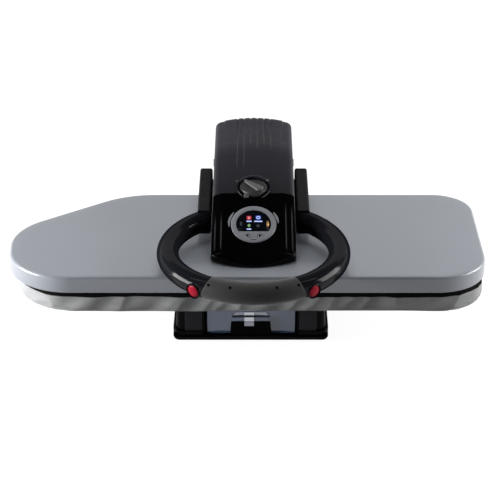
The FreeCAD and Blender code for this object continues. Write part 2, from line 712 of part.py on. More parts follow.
def tank_valve():
    valve = bar_along_y("valve_stem", "valve_radius", TANK_BACK, TANK_BACK + " + valve_length",
                        "0", "valve_lift")
    keep(valve, "tank_valve")


# Heated plate

def plate_cover():
    """The painted pan over the plate."""
    low = "plate_base + skin_lift"
    outer = outline_solid("plate_skin", "0", low, "plate_top")
    soften(outer, "skin_edge", level_at("plate_top"))
    soften(outer, "skin_edge / 4", level_at(low))
    inner = outline_solid("plate_skin_inside", "skin", low + " - 1", SKIN_UNDER)
    holes = [post("skin_hole", "bolt_radius + run_gap", x, y, SKIN_UNDER + " - 1", "plate_top + 1")
             for x, y in BRACKET_BOLTS]
    pipe = post("skin_pipe_hole", "hose_radius + clearance", "arm_side", PIPE_BACK,
                SKIN_UNDER + " - 1", "plate_top + 1")
    keep(cut(outer, inner, pipe, *holes), "plate_cover")


def sole_plate():
    """The hot plate, with its rows of steam holes."""
    body = outline_solid("sole", "skin + clearance", "plate_base", SOLE_TOP)
    soften(body, "sole_edge", level_at("plate_base"))
    face = sketch(body, "XY_Plane", SOLE_TOP)
    for column in range(-3, 5):
        for line in (-1, 0, 1):
            y = PLATE_MIDDLE + " + steam_pitch * 0.8 * %d" % line
            circle(face, "steam_pitch * %d" % column, y, "steam_hole")
    pocket(body, face, "sole_thickness + 1")
    threads = [post("sole_thread", "bolt_radius + run_gap", x, y, "plate_base + 3", SOLE_TOP + " + 1")
               for x, y in BRACKET_BOLTS]
    keep(cut(body, *threads), "sole_plate")


def heating_element():
    """A rod heater bent to a U round the steam chamber, just clear of the sole."""
    lift = SOLE_TOP + " + heater_radius + clearance / 3"
    low, high = about(PLATE_MIDDLE, "heater_bend")
    reach = "heater_reach + heater_bend"
    bent_rod("heating_element", [("-heater_reach", low, lift), (reach, low, lift), (reach, high, lift),
                                 ("-heater_reach", high, lift)], "heater_bend - 2", "heater_radius")


def steam_chamber():
    low, high = SOLE_TOP, SOLE_TOP + " + chamber_height"
    outer = box("chamber", both("chamber_half"), ("chamber_front", "chamber_back"), (low, high))
    inner = box("chamber_inside", both("chamber_half - 3"), ("chamber_front + 3", "chamber_back - 3"),
                (low + " - 1", high + " - 2"))
    port = post("chamber_port", "hose_radius - 1.5", "arm_side", PIPE_BACK, high + " - 3", high + " + 1")
    keep(cut(outer, inner, port), "steam_chamber")


def insulation():
    low, high = SKIN_UNDER + " - clearance - mat_height", SKIN_UNDER + " - clearance"
    body = outline_solid("mat", "skin + 3", low, high)
    holes = [post("mat_hole", "bolt_radius + 1", x, y, low + " - 1", high + " + 1") for x, y in BRACKET_BOLTS]
    pipe = post("mat_pipe_hole", "hose_radius + 0.5", "arm_side", PIPE_BACK, low + " - 1", high + " + 1")
    keep(cut(body, pipe, *holes), "insulation")


def thermostat():
    x = "-heater_reach - 10"
    body = post("thermostat_can", "thermostat_radius", x, PLATE_MIDDLE, SOLE_TOP, SOLE_TOP + " + 7")
    tag = box("thermostat_tag", about(x, "thermostat_radius + 5"), about(PLATE_MIDDLE, "4"),
              (SOLE_TOP, SOLE_TOP + " + 2"))
    keep(fuse(body, tag), "thermostat")


def plate_bracket():
    """The block between the plate and the arm, and the bolts that clamp both."""
    plate = box("bracket", about("arm_side", "bracket_half"), ("bracket_front", "bracket_back"),
                ("plate_top", "arm_base"))
    holes = [post("bracket_hole", "bolt_radius + run_gap", x, y, "plate_top - 1", "arm_base + 1")
             for x, y in BRACKET_BOLTS]
    pipe = post("bracket_pipe_hole", "hose_radius + clearance", "arm_side", PIPE_BACK,
                "plate_top - 1", "arm_base + 1")
    keep(cut(plate, pipe, *holes), "plate_bracket")
    seat = "arm_base + arm_steel"
    bolts = [fuse(post("clamp_shank", "bolt_radius", x, y, "plate_base + 3.5", seat + " + 1"),
                  post("clamp_head", "bolt_head", x, y, seat, seat + " + 4")) for x, y in BRACKET_BOLTS]
    group(bolts, "plate_bolts")


def steam_pipe():
    low = SOLE_TOP + " + chamber_height"
    high = "knob_height - cos(knob_tilt) * (shaft_drop + valve_box_height - 4) - 2"
    tube = post("pipe", "hose_radius", "arm_side", PIPE_BACK, low, high)
    bore = post("pipe_bore", "hose_radius - 1.5", "arm_side", PIPE_BACK, low + " - 1", high + " + 1")
    keep(cut(tube, bore), "steam_pipe")


# Arm and hood

def arm_beam():
    """A steel channel from the hinge pin to the plate."""
    body = new_body("beam")
    side = sketch(body, "YZ_Plane", "arm_side")
    polygon(side, [("arm_front", "arm_base"), ("ear_back", "arm_base"), ("ear_back", "ear_top"),
                   ("lever_back - 20", "ear_top"), ("arm_front", "arm_base + 17")])
    pad(body, side, "arm_width", both_sides=True)
    inside = about("arm_side", "arm_width / 2 - arm_steel")
    web = ("arm_base - 1", "arm_base + arm_steel + 1")
    trough = box("beam_trough", inside, ("arm_front - 1", "ear_back + 1"),
                 ("arm_base + arm_steel", "ear_top + 1"))
    fork = box("beam_fork", inside, ("web_back", "ear_back + 1"), web)
    ends = about("arm_side", "arm_width / 2 + 1")
    pin = bar_along_x("beam_pin_hole", "bush_radius + run_gap", *ends, "hinge_back", "hinge_height")
    shaft = bar_along_x("beam_shaft_hole", "lever_pin + run_gap", *ends, "lever_back", "lever_height")
    holes = [post("beam_hole", "bolt_radius + run_gap", x, y, *web) for x, y in BRACKET_BOLTS]
    pipe = post("beam_pipe_hole", "hose_radius + clearance", "arm_side", PIPE_BACK, *web)
    keep(cut(body, trough, fork, pin, shaft, pipe, *holes), "arm_beam")


def hinge_bushes():
    """Flanged bushes between the arm's cheeks and the column's."""
    bushes = []
    for sign in ("-", "+"):
        inner = "arm_side %s (arm_width / 2 - arm_steel)" % sign
        shoulder = "arm_side %s (arm_width / 2 + run_gap)" % sign
        outer = "arm_side %s (column_width / 2 - column_steel - clearance)" % sign
        span = (inner, shoulder, outer) if sign == "+" else (outer, shoulder, inner)
        sleeve = bar_along_x("bush", "bush_radius", span[0], span[2], "hinge_back", "hinge_height")
        flange_ends = (shoulder, outer) if sign == "+" else (outer, shoulder)
        flange = bar_along_x("bush_flange", "bush_flange", *flange_ends, "hinge_back", "hinge_height")
        bore = bar_along_x("bush_bore", "pin_radius + run_gap", span[0] + " - 1", span[2] + " + 1",
                           "hinge_back", "hinge_height")
        bushes.append(cut(fuse(sleeve, flange), bore))
    group(bushes, "hinge_bushes")


def lever_shaft():
    shaft = bar_along_x("shaft", "lever_pin", *about("arm_side", "lever_gap + lever_thickness - 3"),
                        "lever_back", "lever_height")
    keep(shaft, "lever_shaft")


FACE_RISE = "(kink_height - nose_height) / (kink_back - pod_nose)"
FACE_TILT = "atan(%s)" % FACE_RISE
BEZEL_HEIGHT = "kink_height - (kink_back - bezel_back) * " + FACE_RISE


def tilted(obj, y, z, tilt):
    """Move a piece drawn at the origin onto the arm's middle line, leaning to the front."""
    moved = doc.addObject("Part::Compound", obj.Name + "_tilted")
    moved.Links = [obj]
    return place(moved, "arm_side", y, z, (1, 0, 0), tilt)


def on_face(obj):
    """Move a piece drawn at the origin to the bezel's centre on the sloping face."""
    return tilted(obj, "bezel_back", BEZEL_HEIGHT, FACE_TILT)


def on_dial(obj):
    """Move a piece drawn at the origin to the knob's place on the hood."""
    return tilted(obj, "knob_back", "knob_height", "knob_tilt")


def knob_clearance():
    return on_dial(post("dial_hole", "dial_radius + clearance", "0", "0", "-14", "30"))


def side_profile(name, points, half):
    body = new_body(name)
    side = sketch(body, "YZ_Plane", "arm_side")
    polygon(side, points)
    pad(body, side, "2 * (%s)" % half, both_sides=True)
    return body


def hood_points(inset, front):
    """The hood's side view; the inset moves its top and back inwards and its foot down."""
    back = "hood_back - (%s)" % inset
    points = [(front, "kink_height - (%s)" % inset),
              ("hood_rise_back", "hood_rise - (%s)" % inset),
              ("hood_crest_back", "hood_crest - (%s)" % inset),
              (back, "hood_tail - (%s) / 2" % inset)]
    if inset == "0":
        heel = [(back, "hood_base + heel_rise"), ("hood_back - heel_reach", "hood_base")]
        return [(front, "hood_base")] + points + heel
    return [(front, "hood_base - 1")] + points + [(back, "hood_base - 1")]


def hood():
    """The rear cover, its heel cut away so that it clears the column when the arm is up."""
    outer = side_profile("hood_shell", hood_points("0", "kink_back + clearance"), "hood_half")
    edge = value("hood_half")
    middle = value("arm_side")
    tail = value("hood_tail")
    soften(outer, "hood_round", lambda room: room.XLength < 0.01 and room.YLength > 20
           and room.Center.z > tail and abs(abs(room.Center.x - middle) - edge) < 0.1)
    inner = side_profile("hood_inside", hood_points("hood_wall", "kink_back - 1"), "hood_half - hood_wall")
    shaft = bar_along_x("hood_shaft_hole", "lever_pin + 0.5", *about("arm_side", "hood_half + 1"),
                        "lever_back", "lever_height")
    keep(cut(outer, inner, knob_clearance(), shaft), "hood")


def pod_points(inset):
    """The pod's side view, moved inwards behind its face."""
    drop = "(%s) / cos(%s)" % (inset, FACE_TILT)
    low = "hood_base" if inset == "0" else "hood_base - 1"
    end = "kink_back" if inset == "0" else "kink_back + 1"
    lift = "kink_height - %s" % drop if inset == "0" else "kink_height - %s + %s" % (drop, FACE_RISE)
    nose = "pod_nose + (%s)" % inset
    return [(end, low), (end, lift), (nose, "nose_height - %s + (%s) * %s" % (drop, inset, FACE_RISE)),
            (nose, low)]


def pod_cover():
    """The glossy front cover, with the bezel's hole in its sloping face."""
    outer = side_profile("pod_shell", pod_points("0"), "hood_half")
    nose = value("pod_nose")
    soften(outer, "pod_round", lambda room: room.ZLength > 1 and abs(room.Center.y - nose) < 0.1)
    soften(outer, "4", lambda room: room.YLength > 60 and room.Center.z > value("nose_height") + 10)
    inner = side_profile("pod_inside", pod_points("hood_wall"), "hood_half - hood_wall")
    inner_nose = value("pod_nose + hood_wall")
    soften(inner, "pod_round - hood_wall", lambda room: room.ZLength > 0.5
           and abs(room.Center.y - inner_nose) < 0.1)
    hole = on_face(post("bezel_hole", "bezel_plug + clearance", "0", "0", "-12", "12"))
    keep(cut(outer, inner, hole, knob_clearance()), "pod_cover")


def hood_base():
    """The floor between the hood's walls, round the bracket."""
    plate = box("hood_floor", about("arm_side", "hood_half - hood_wall - clearance"),
                ("floor_front", "floor_back"), ("hood_base", "hood_base + 2"))
    hole = box("hood_floor_hole", about("arm_side", "bracket_half + clearance"),
               ("bracket_front - clearance", "bracket_back + clearance"), ("hood_base - 1", "hood_base + 3"))
    keep(cut(plate, hole), "hood_base")


def lens_shape(name, spare, low, high):
    """A disc with its lower part cut off flat."""
    disc = post(name, "lens_radius + (%s)" % spare, "0", "0", low, high)
    upper = box(name + "_upper", both("lens_radius + 5"), ("-lens_flat - (%s)" % spare, "lens_radius + 5"),
                ("(%s) - 1" % low, "(%s) + 1" % high))
    return common(disc, upper)


def bezel():
    """The display's ring, its lens, the circuit board behind it and the two keys."""
    ring = post("bezel_ring", "bezel_radius", "0", "0", "0", "bezel_lift")
    plug = post("bezel_plug_disc", "bezel_plug", "0", "0", "-bezel_sink", "1")
    seat = lens_shape("lens_seat", "0.15", "0.5", "bezel_lift + 1")
    keys = [post("key_hole", "key_radius + 0.2", side + "key_side", "-key_drop", "-bezel_sink - 1",
                 "bezel_lift + 1") for side in ("-", "")]
    keep(on_face(cut(fuse(ring, plug), seat, *keys)), "bezel")
    keep(on_face(lens_shape("lens", "0", "0.5", "bezel_lift - 0.6")), "display_lens")
    board = box("display_plate", both("bezel_plug - 4"), both("bezel_plug - 5"),
                ("-bezel_sink - clearance - circuit_thickness", "-bezel_sink - clearance"))
    keep(on_face(board), "display_board")
    top = "bezel_lift + key_proud"
    for side, name in (("-", "panel_button_left"), ("", "panel_button_right")):
        key = post("key", "key_radius", side + "key_side", "-key_drop", top + " - key_length", top)
        keep(on_face(key), name)


def knob():
    """The steam knob, the dial's cup in the hood's slope, its shaft and the valve that it turns."""
    cup = post("dial", "dial_radius", "0", "0", "-dial_depth", "30")
    well = post("dial_well", "dial_radius - dial_wall", "0", "0", "0", "31")
    hole = post("dial_bore", "shaft_radius + 0.2", "0", "0", "-dial_depth - 1", "1")
    cup = on_dial(cut(cup, well, hole))
    slope = fuse(side_profile("dial_trim_back", hood_points("0", "kink_back"), "dial_radius + 5"),
                 side_profile("dial_trim_front", pod_points("0"), "dial_radius + 5"))
    keep(common(cup, slope), "dial_plate")
    low = "clearance"
    disc = post("knob_disc", "knob_radius", "0", "0", low, low + " + knob_rise - 3")
    fin = box("knob_fin", both("knob_radius - 1"), both("4"), (low, low + " + knob_rise"))
    bore = post("knob_bore", "shaft_radius + run_gap", "0", "0", low + " - 1", low + " + 4")
    keep(on_dial(cut(fuse(disc, fin), bore)), "knob")
    keep(on_dial(post("knob_stem", "shaft_radius", "0", "0", "-shaft_drop", low + " + 3.9")), "knob_shaft")
    high = "-shaft_drop + 4"
    valve = box("valve_block", both("valve_box / 2"), both("valve_box / 2"),
                (high + " - valve_box_height", high))
    entry = post("valve_entry", "shaft_radius + 0.1", "0", "0", "-shaft_drop - 0.3", high + " + 1")
    keep(on_dial(cut(valve, entry)), "steam_valve")


# Handle

def ring_place():
    """The ring's own plane, which dips a little to the front."""
    tilt = FreeCAD.Rotation(FreeCAD.Vector(1, 0, 0), value("ring_tilt"))
    return FreeCAD.Placement(vector("arm_side", "ring_back", "ring_height"), tilt)


def turned(axis, degrees):
    return FreeCAD.Placement(FreeCAD.Vector(), FreeCAD.Rotation(FreeCAD.Vector(*axis), degrees))


def ring_sector(name, radius, start, end):
    """A bent round bar; its angles run from the front towards the right."""
    obj = doc.addObject("Part::Torus", name)
    obj.setExpression("Radius1", bound("ring_radius"))
    obj.setExpression("Radius2", bound(radius))
    obj.setExpression("Angle3", bound("(%s) - (%s)" % (end, start)))
    obj.Placement = ring_place().multiply(turned((0, 0, 1), value(start) - 90))
    return obj


def on_ring(obj, angle, lift, out):
    """Stand a bar on the ring's centre line, pointing outwards and up by the lift."""
    spot = ring_place().multiply(turned((0, 0, 1), value(angle) - 90))
    spot = spot.multiply(FreeCAD.Placement(vector("ring_radius", "0"), FreeCAD.Rotation()))
    spot = spot.multiply(turned((0, 1, 0), 90 - value(lift)))
    for letter in "xyz":
        obj.setExpression("Placement.Base." + letter, None)
    obj.Placement = spot.multiply(FreeCAD.Placement(vector("0", "0", out), FreeCAD.Rotation()))
    return obj


def bar_on_ring(name, radius, angle, lift, low, high):
    return on_ring(cylinder(name, radius, "(%s) - (%s)" % (high, low)), angle, lift, low)


def lever_span(side):
    """The two X faces of one lever arm."""
    near, far = "arm_side + lever_gap", "arm_side + lever_gap + lever_thickness"
    return (near, far) if side == "right" else (
        "arm_side - lever_gap - lever_thickness", "arm_side - lever_gap")


def core(spare="0"):
    return ring_sector("core", "core_radius + (%s)" % spare, "-core_end_angle", "core_end_angle")


def lever_arm(side):
    """One flat arm from the lever shaft forward to the ring."""
    low, high = lever_span(side)
    body = new_body("lever_" + side)
    profile = sketch(body, "YZ_Plane", low)
    polygon(profile, [("lever_front", "lever_base"), ("lever_end - 8", "lever_base"),
                      ("lever_end", "lever_base + 8"), ("lever_end", "lever_top"),
                      ("lever_front", "lever_top")])
    pad(body, profile, "lever_thickness")
    soften(body, "lever_round", lambda room: room.YLength > 100 or (
        room.XLength < 0.01 and abs(room.Center.y - value("lever_end")) < 1))
    blind = ("-3", "lever_thickness - 3") if side == "right" else ("3", "lever_thickness + 3")
    bore = bar_along_x("lever_bore", "lever_pin + run_gap", low + " + " + blind[0], low + " + " + blind[1],
                       "lever_back", "lever_height")
    keep(cut(body, bore, core("run_gap")), "lever_arm_" + side)


def handle_ring(side):
    """One black side of the ring, cut back where the lever arm and the hood are."""
    sign = "" if side == "right" else "-"
    angles = (sign + "grip_half_angle", sign + "tube_end_angle")
    start, end = angles if side == "right" else angles[::-1]
    tube = ring_sector("tube_" + side, "tube_radius", start, end)
    bore = ring_sector("tube_bore_" + side, "core_radius + run_gap", start, end)
    low, high = lever_span(side)
    tall = ("ring_height - 40", "ring_height + 40")
    arm = box("arm_room", (low, high), ("lever_front", "lever_end"), tall)
    inside = (("arm_side", low) if side == "right" else (high, "arm_side"))
    hood_room = box("hood_room", inside, ("lever_front - 60", "lever_end"), tall)
    behind = box("behind_room", about("arm_side", "ring_radius * 1.5"), ("tube_end", "lever_end"), tall)
    seat = bar_on_ring("collar_seat", "collar_radius + run_gap", sign + "button_angle", "button_lift",
                       "core_radius + 0.5", "tube_radius * 2")
    keep(cut(tube, bore, arm, hood_room, behind, seat), "handle_ring_" + side)


def handle_grip():
    """The grip across the ring's front, and the screws sunk into it."""
    tube = ring_sector("grip_tube", "tube_radius", "-grip_half_angle + 0.15", "grip_half_angle - 0.15")
    bore = ring_sector("grip_bore", "core_radius + run_gap", "-grip_half_angle", "grip_half_angle")
    angles = [sign + name for sign in ("", "-") for name in ("outer_screw_angle", "inner_screw_angle")]
    holes = [bar_on_ring("grip_hole", "grip_screw_radius + 0.1", angle, "screw_lift",
                         "core_radius + 1", "tube_radius + 5") for angle in angles]
    keep(cut(tube, bore, *holes), "handle_grip")
    screws = [bar_on_ring("grip_screw", "grip_screw_radius", angle, "screw_lift",
                          "core_radius + 1.2", "tube_radius - 2.5") for angle in angles]
    group(screws, "grip_screws")


def handle_buttons():
    """A push button in a collar on each side of the grip."""
    collars = []
    under = "button_out - button_thickness"
    for sign, side in (("-", "left"), ("", "right")):
        at = (sign + "button_angle", "button_lift")
        ring = bar_on_ring("collar", "collar_radius", *at, "core_radius + 0.7", "collar_out")
        bore = bar_on_ring("collar_bore", "button_radius + 0.15", *at, "core_radius", "collar_out + 1")
        collars.append(cut(ring, bore))
        cap = bar_on_ring("button_cap", "button_radius", *at, under, "button_out")
        stub = bar_on_ring("button_stub", "button_radius / 2", *at, under + " - 0.5", "button_out - 1")
        keep(fuse(cap, stub), "button_" + side)
    group(collars, "button_collars")


def make_press():
    base_tray()
    rubber_feet()
    base_screws()
    base_cover()
    tank_bay()
    pump()
    feed_hose()
    control_board()
    power_inlet()
    hinge_frame()
    column_cover()
    hinge_pin()
    pin_clips()
    lift_springs()
    board_frame()
    board_tray()
    board_pad()
    board_cover()
    tank()
    tank_lid()
    tank_grip()
    tank_valve()
    plate_cover()
    sole_plate()
    heating_element()
    steam_chamber()
    insulation()
    thermostat()
    plate_bracket()
    steam_pipe()
    arm_beam()
    hinge_bushes()
    lever_shaft()
    hood()
    pod_cover()
    hood_base()
    bezel()
    knob()
    for side in ("left", "right"):
        lever_arm(side)
        handle_ring(side)
    handle_grip()
    handle_buttons()
    keep(core(), "handle_core")


def write_parts():
    """Check every object, then write one file for each piece."""
    doc.recompute()
    failed = [o.Label for o in doc.Objects if "Invalid" in o.State or "Error" in o.State]
    bad = [o.Label for o in parts if o.Shape.isNull() or not o.Shape.isValid() or not o.Shape.Solids]
    if failed or bad:
        raise ValueError("failed objects %s, bad shapes %s" % (failed, bad))
    os.makedirs("parts", exist_ok=True)
    for obj in parts:
        obj.Shape.exportStep(os.path.join("parts", obj.Label + ".step"))
        print(obj.Label, len(obj.Shape.Solids), "solids, %.0f mm3" % obj.Shape.Volume)


make_press()
write_parts()
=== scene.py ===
import bmesh
import bpy
import math
import numpy as np
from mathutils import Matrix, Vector


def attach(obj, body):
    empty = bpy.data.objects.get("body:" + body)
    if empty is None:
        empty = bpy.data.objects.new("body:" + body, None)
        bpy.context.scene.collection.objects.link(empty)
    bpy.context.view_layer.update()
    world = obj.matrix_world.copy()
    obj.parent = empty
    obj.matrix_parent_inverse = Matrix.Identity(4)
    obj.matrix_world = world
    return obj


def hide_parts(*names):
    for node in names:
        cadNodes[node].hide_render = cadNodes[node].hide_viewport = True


# Steam ironing press: X to the right, Y to the back, Z up, in metres

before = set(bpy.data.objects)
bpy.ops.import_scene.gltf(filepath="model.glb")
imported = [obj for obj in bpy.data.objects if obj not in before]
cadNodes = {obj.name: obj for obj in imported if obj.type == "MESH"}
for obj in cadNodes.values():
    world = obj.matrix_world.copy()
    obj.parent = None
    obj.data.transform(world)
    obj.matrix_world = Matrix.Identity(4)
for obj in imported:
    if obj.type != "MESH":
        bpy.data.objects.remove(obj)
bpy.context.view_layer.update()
print("frame loaded with", len(cadNodes), "nodes")

mm = 0.001


def inMm(**lengths):  # lengths written in mm, as metres
    return {name: np.multiply(value, mm) for name, value in lengths.items()}


armX = 3.8 * mm  # the arm's middle line lies a little right of the base's
sides = ("left", -1), ("right", 1)


# Small tools for arrays of points

def unit(vectors):
    return vectors / np.linalg.norm(vectors, axis=-1, keepdims=True)


def smoothStep(low, high, values):  # 0 below low, 1 above high, with soft ends
    t = np.clip((values - low) / (high - low), 0, 1)
    return t * t * (3 - 2 * t)


def softNoise(u, v, seed, waves=14, spread=1.0):  # a sum of seeded sine waves in random directions, about -1 to 1
    rng = np.random.default_rng(seed)
    angle = rng.uniform(0, 2 * np.pi, waves)
    pitch = rng.uniform(0.6, 1.7, waves) * spread
    phase = rng.uniform(0, 2 * np.pi, waves)
    total = np.zeros(np.broadcast(u, v).shape)
    for a, p, f in zip(angle, pitch, phase):
        total = total + np.sin(p * (np.cos(a) * u + np.sin(a) * v) + f)
    return total / math.sqrt(waves)


def roundedPath(points, radii, steps=12, closed=False):  # straight runs between points, joined by tangent arcs
    points = np.asarray(points, float)
    count = len(points)
    pieces = []
    for i in range(count):
        if not closed and i in (0, count - 1):
            pieces.append(points[i:i + 1])
            continue
        back = unit(points[i - 1] - points[i])
        ahead = unit(points[(i + 1) % count] - points[i])
        half = math.acos(np.clip(back @ ahead, -1, 1)) / 2
        middle = points[i] + unit(back + ahead) * radii[i] / math.sin(half)
        first = points[i] + back * radii[i] / math.tan(half) - middle
        last = points[i] + ahead * radii[i] / math.tan(half) - middle
        sweepAngle = math.pi - 2 * half
        t = np.linspace(0, 1, steps)[:, None]
        arc = (np.sin((1 - t) * sweepAngle) * first + np.sin(t * sweepAngle) * last) / math.sin(sweepAngle)
        pieces.append(middle + arc)
    return np.concatenate(pieces)


def evenly(path, count, closed=False):  # the same line with points at equal distances
    if closed:
        path = np.concatenate([path, path[:1]])
    length = np.concatenate([[0], np.cumsum(np.linalg.norm(np.diff(path, axis=0), axis=1))])
    at = np.linspace(0, length[-1], count + 1)[:-1] if closed else np.linspace(0, length[-1], count)
    return np.stack([np.interp(at, length, path[:, k]) for k in range(path.shape[1])], axis=1)


def outwardOf(outline):  # unit normals of a closed plan outline that runs counter-clockwise
    along = unit(np.roll(outline, -1, axis=0) - np.roll(outline, 1, axis=0))
    return np.stack([along[:, 1], -along[:, 0]], axis=1)


def roundedBox(width, height, corner, middle=(0, 0), count=64):  # a rounded rectangle's outline
    w, h = width / 2, height / 2
    path = roundedPath([(w, -h), (w, h), (-w, h), (-w, -h)], [corner] * 4, 8, closed=True)
    return evenly(path, count, closed=True) + np.asarray(middle)


def disc(radius, middle=(0, 0), tall=1.0, count=40):  # an ellipse's outline
    angle = np.linspace(0, 2 * np.pi, count, endpoint=False)
    return np.stack([radius * np.cos(angle), radius * tall * np.sin(angle)], axis=1) + np.asarray(middle)


# Meshes

def volumeOf(points, triangles):  # the sum of the tetrahedra over the triangles, below 0 where they point inwards
    a, b, c = (points[triangles[:, k]] - points.mean(0) for k in range(3))
    return np.einsum("ij,ij->i", a, np.cross(b, c)).sum() / 6


def makeMesh(name, points, faces, sharpAngle=40):
    mesh = bpy.data.meshes.new(name)
    mesh.from_pydata(points.tolist(), [], faces)
    piece = bpy.data.objects.new(name, mesh)
    bpy.context.scene.collection.objects.link(piece)
    return smoothed(piece, sharpAngle)


def smoothed(piece, sharpAngle=40):  # smooth shading that breaks at edges sharper than the angle
    mesh = piece.data
    mesh.polygons.foreach_set("use_smooth", np.ones(len(mesh.polygons), bool))
    mesh.update()
    mesh.set_sharp_from_angle(angle=math.radians(sharpAngle))
    return piece


def gridMesh(name, grid, around=True, wrap=False, firstPole=None, lastPole=None, sharpAngle=40):
    # rows of points joined by quads: around closes each row, wrap joins the last row to the first, a pole closes
    # an end
    rows, columns = grid.shape[:2]
    points = grid.reshape(-1, 3)
    index = np.arange(rows * columns).reshape(rows, columns)
    if around:
        index = np.concatenate([index, index[:, :1]], axis=1)
    if wrap:
        index = np.concatenate([index, index[:1]], axis=0)
    quads = np.stack([index[:-1, :-1], index[:-1, 1:], index[1:, 1:], index[1:, :-1]], axis=-1).reshape(-1, 4)
    fans = []
    for pole, ring in ((firstPole, index[0, ::-1]), (lastPole, index[-1])):
        if pole is not None:
            points = np.concatenate([points, np.reshape(pole, (1, 3))])
            fans.append(np.stack([ring[:-1], ring[1:], np.full(len(ring) - 1, len(points) - 1)], axis=1))
    fans = np.concatenate(fans) if fans else np.zeros((0, 3), int)
    triangles = np.concatenate([quads[:, [0, 1, 2]], quads[:, [0, 2, 3]], fans])
    if volumeOf(points, triangles) < 0:  # faces point outwards
        quads, fans = quads[:, ::-1], fans[:, ::-1]
    return makeMesh(name, points, quads.tolist() + fans.tolist(), sharpAngle)


def mergeDoubles(piece, sharpAngle):  # doubled points and the faces between them go, and faces point outwards
    work = bmesh.new()
    work.from_mesh(piece.data)
    bmesh.ops.remove_doubles(work, verts=work.verts, dist=1e-6)
    bmesh.ops.dissolve_degenerate(work, dist=1e-7, edges=work.edges)
    bmesh.ops.recalc_face_normals(work, faces=work.faces)
    work.to_mesh(piece.data)
    work.free()
    return smoothed(piece, sharpAngle)


def pointsOf(piece):
    mesh = piece.data
    points = np.zeros(len(mesh.vertices) * 3)
    mesh.vertices.foreach_get("co", points)
    return points.reshape(-1, 3)


def movePoints(piece, points):
    piece.data.vertices.foreach_set("co", points.ravel())
    piece.data.update()


def joined(name, pieces, sharpAngle=40):  # several meshes as one object
    points, faces, offset = [], [], 0
    for piece in pieces:
        mesh = piece.data
        points.append(pointsOf(piece))
        faces += [[v + offset for v in polygon.vertices] for polygon in mesh.polygons]
        offset += len(mesh.vertices)
        bpy.data.objects.remove(piece)
    return makeMesh(name, np.concatenate(points), faces, sharpAngle)


def applied(piece):  # the piece with its modifiers worked into its mesh
    graph = bpy.context.evaluated_depsgraph_get()
    graph.update()
    mesh = bpy.data.meshes.new_from_object(piece.evaluated_get(graph))
    piece.modifiers.clear()
    piece.data = mesh
    return piece


def cutAway(piece, tools, sharpAngle=40):
    for tool in tools:
        cut = piece.modifiers.new("cut", "BOOLEAN")
        cut.operation = "DIFFERENCE"
        cut.solver = "EXACT"
        cut.object = tool
    applied(piece)
    for tool in tools:
        bpy.data.objects.remove(tool)
    return smoothed(piece, sharpAngle)


def walled(piece, thickness):  # a shell's wall, grown inwards
    wall = piece.modifiers.new("wall", "SOLIDIFY")
    wall.thickness = thickness
    wall.offset = -1
    return piece


def turnedShape(name, profile, spot, segments=96, sharpAngle=35):
    # a profile of radius and height turned about the spot's own Z; a radius of 0 closes it
    angle = np.linspace(0, 2 * np.pi, segments, endpoint=False)
    profile = np.asarray(profile, float)
    poles = [None, None]
    keep = profile
    if profile[0, 0] == 0:
        poles[0] = spot(np.array([[0, 0, profile[0, 1]]]))
        keep = keep[1:]
    if profile[-1, 0] == 0:
        poles[1] = spot(np.array([[0, 0, profile[-1, 1]]]))
        keep = keep[:-1]
    ring = np.stack([np.cos(angle), np.sin(angle)], axis=1)
    height = np.broadcast_to(keep[:, None, 1:], (len(keep), segments, 1))
    grid = np.concatenate([keep[:, None, :1] * ring[None], height], axis=2)
    return gridMesh(name, spot(grid), wrap=poles[0] is None, firstPole=poles[0], lastPole=poles[1],
                    sharpAngle=sharpAngle)


def slabMesh(name, outline, low, high, bevel, spot, sharpAngle=40):
    # a flat plate with a bevelled top: the closed outline carried up, inwards over the bevel and to its middle
    turn = np.linspace(0, np.pi / 2, 4)
    inset = np.concatenate([[0], bevel * (1 - np.cos(turn))])
    height = np.concatenate([[low], high - bevel + bevel * np.sin(turn)])
    outward = outwardOf(outline)
    rows = outline[None] - inset[:, None, None] * outward[None]
    grid = np.concatenate([rows, np.broadcast_to(height[:, None, None], rows.shape[:2] + (1,))], axis=2)
    middle = outline.mean(0)
    return gridMesh(name, spot(grid), firstPole=spot(np.array([[*middle, low]])),
                    lastPole=spot(np.array([[*middle, high]])), sharpAngle=sharpAngle)


def arcStrip(name, radius, width, start, end, low, high, spot, count=40, taper=0.0):
    # a flat strip bent round the spot's Z; taper narrows it to points at its ends
    angle = np.radians(np.linspace(start, end, count))
    half = width / 2 * (1 - taper + taper * np.sin(np.linspace(0, np.pi, count)) ** 0.7) + 1e-5
    corners = (radius - half, low), (radius - half, high), (radius + half, high), (radius + half, low)
    lines = [np.stack([r * np.cos(angle), r * np.sin(angle), np.full(count, z)], axis=1) for r, z in corners]
    grid = np.stack(lines, axis=1)
    poles = [spot(grid[k].mean(0)[None]) for k in (0, -1)]
    return gridMesh(name, spot(grid), firstPole=poles[0], lastPole=poles[1], sharpAngle=30)


def spotAt(origin, tilt):  # from local x, y, z to the press, leaning to the front by the tilt
    c, s = math.cos(math.radians(tilt)), math.sin(math.radians(tilt))
    turn = np.array([[1, 0, 0], [0, c, s], [0, -s, c]])
    return lambda points: np.asarray(points) @ turn + np.asarray(origin)


def facingFront(back):  # from local x, y, z to the press, lying on an upright plane that faces the front
    turn = np.array([[1, 0, 0], [0, 0, 1], [0, -1, 0]])
    return lambda points: np.asarray(points) @ turn + np.array([0, back, 0])


def finishPiece(piece, body, material, replaced=()):  # its material, body, slot and the nodes it stands for
    piece.data.materials.clear()
    piece.data.materials.append(materials[material])
    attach(piece, body)
    if replaced:
        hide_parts(*replaced)
    return piece


# Materials

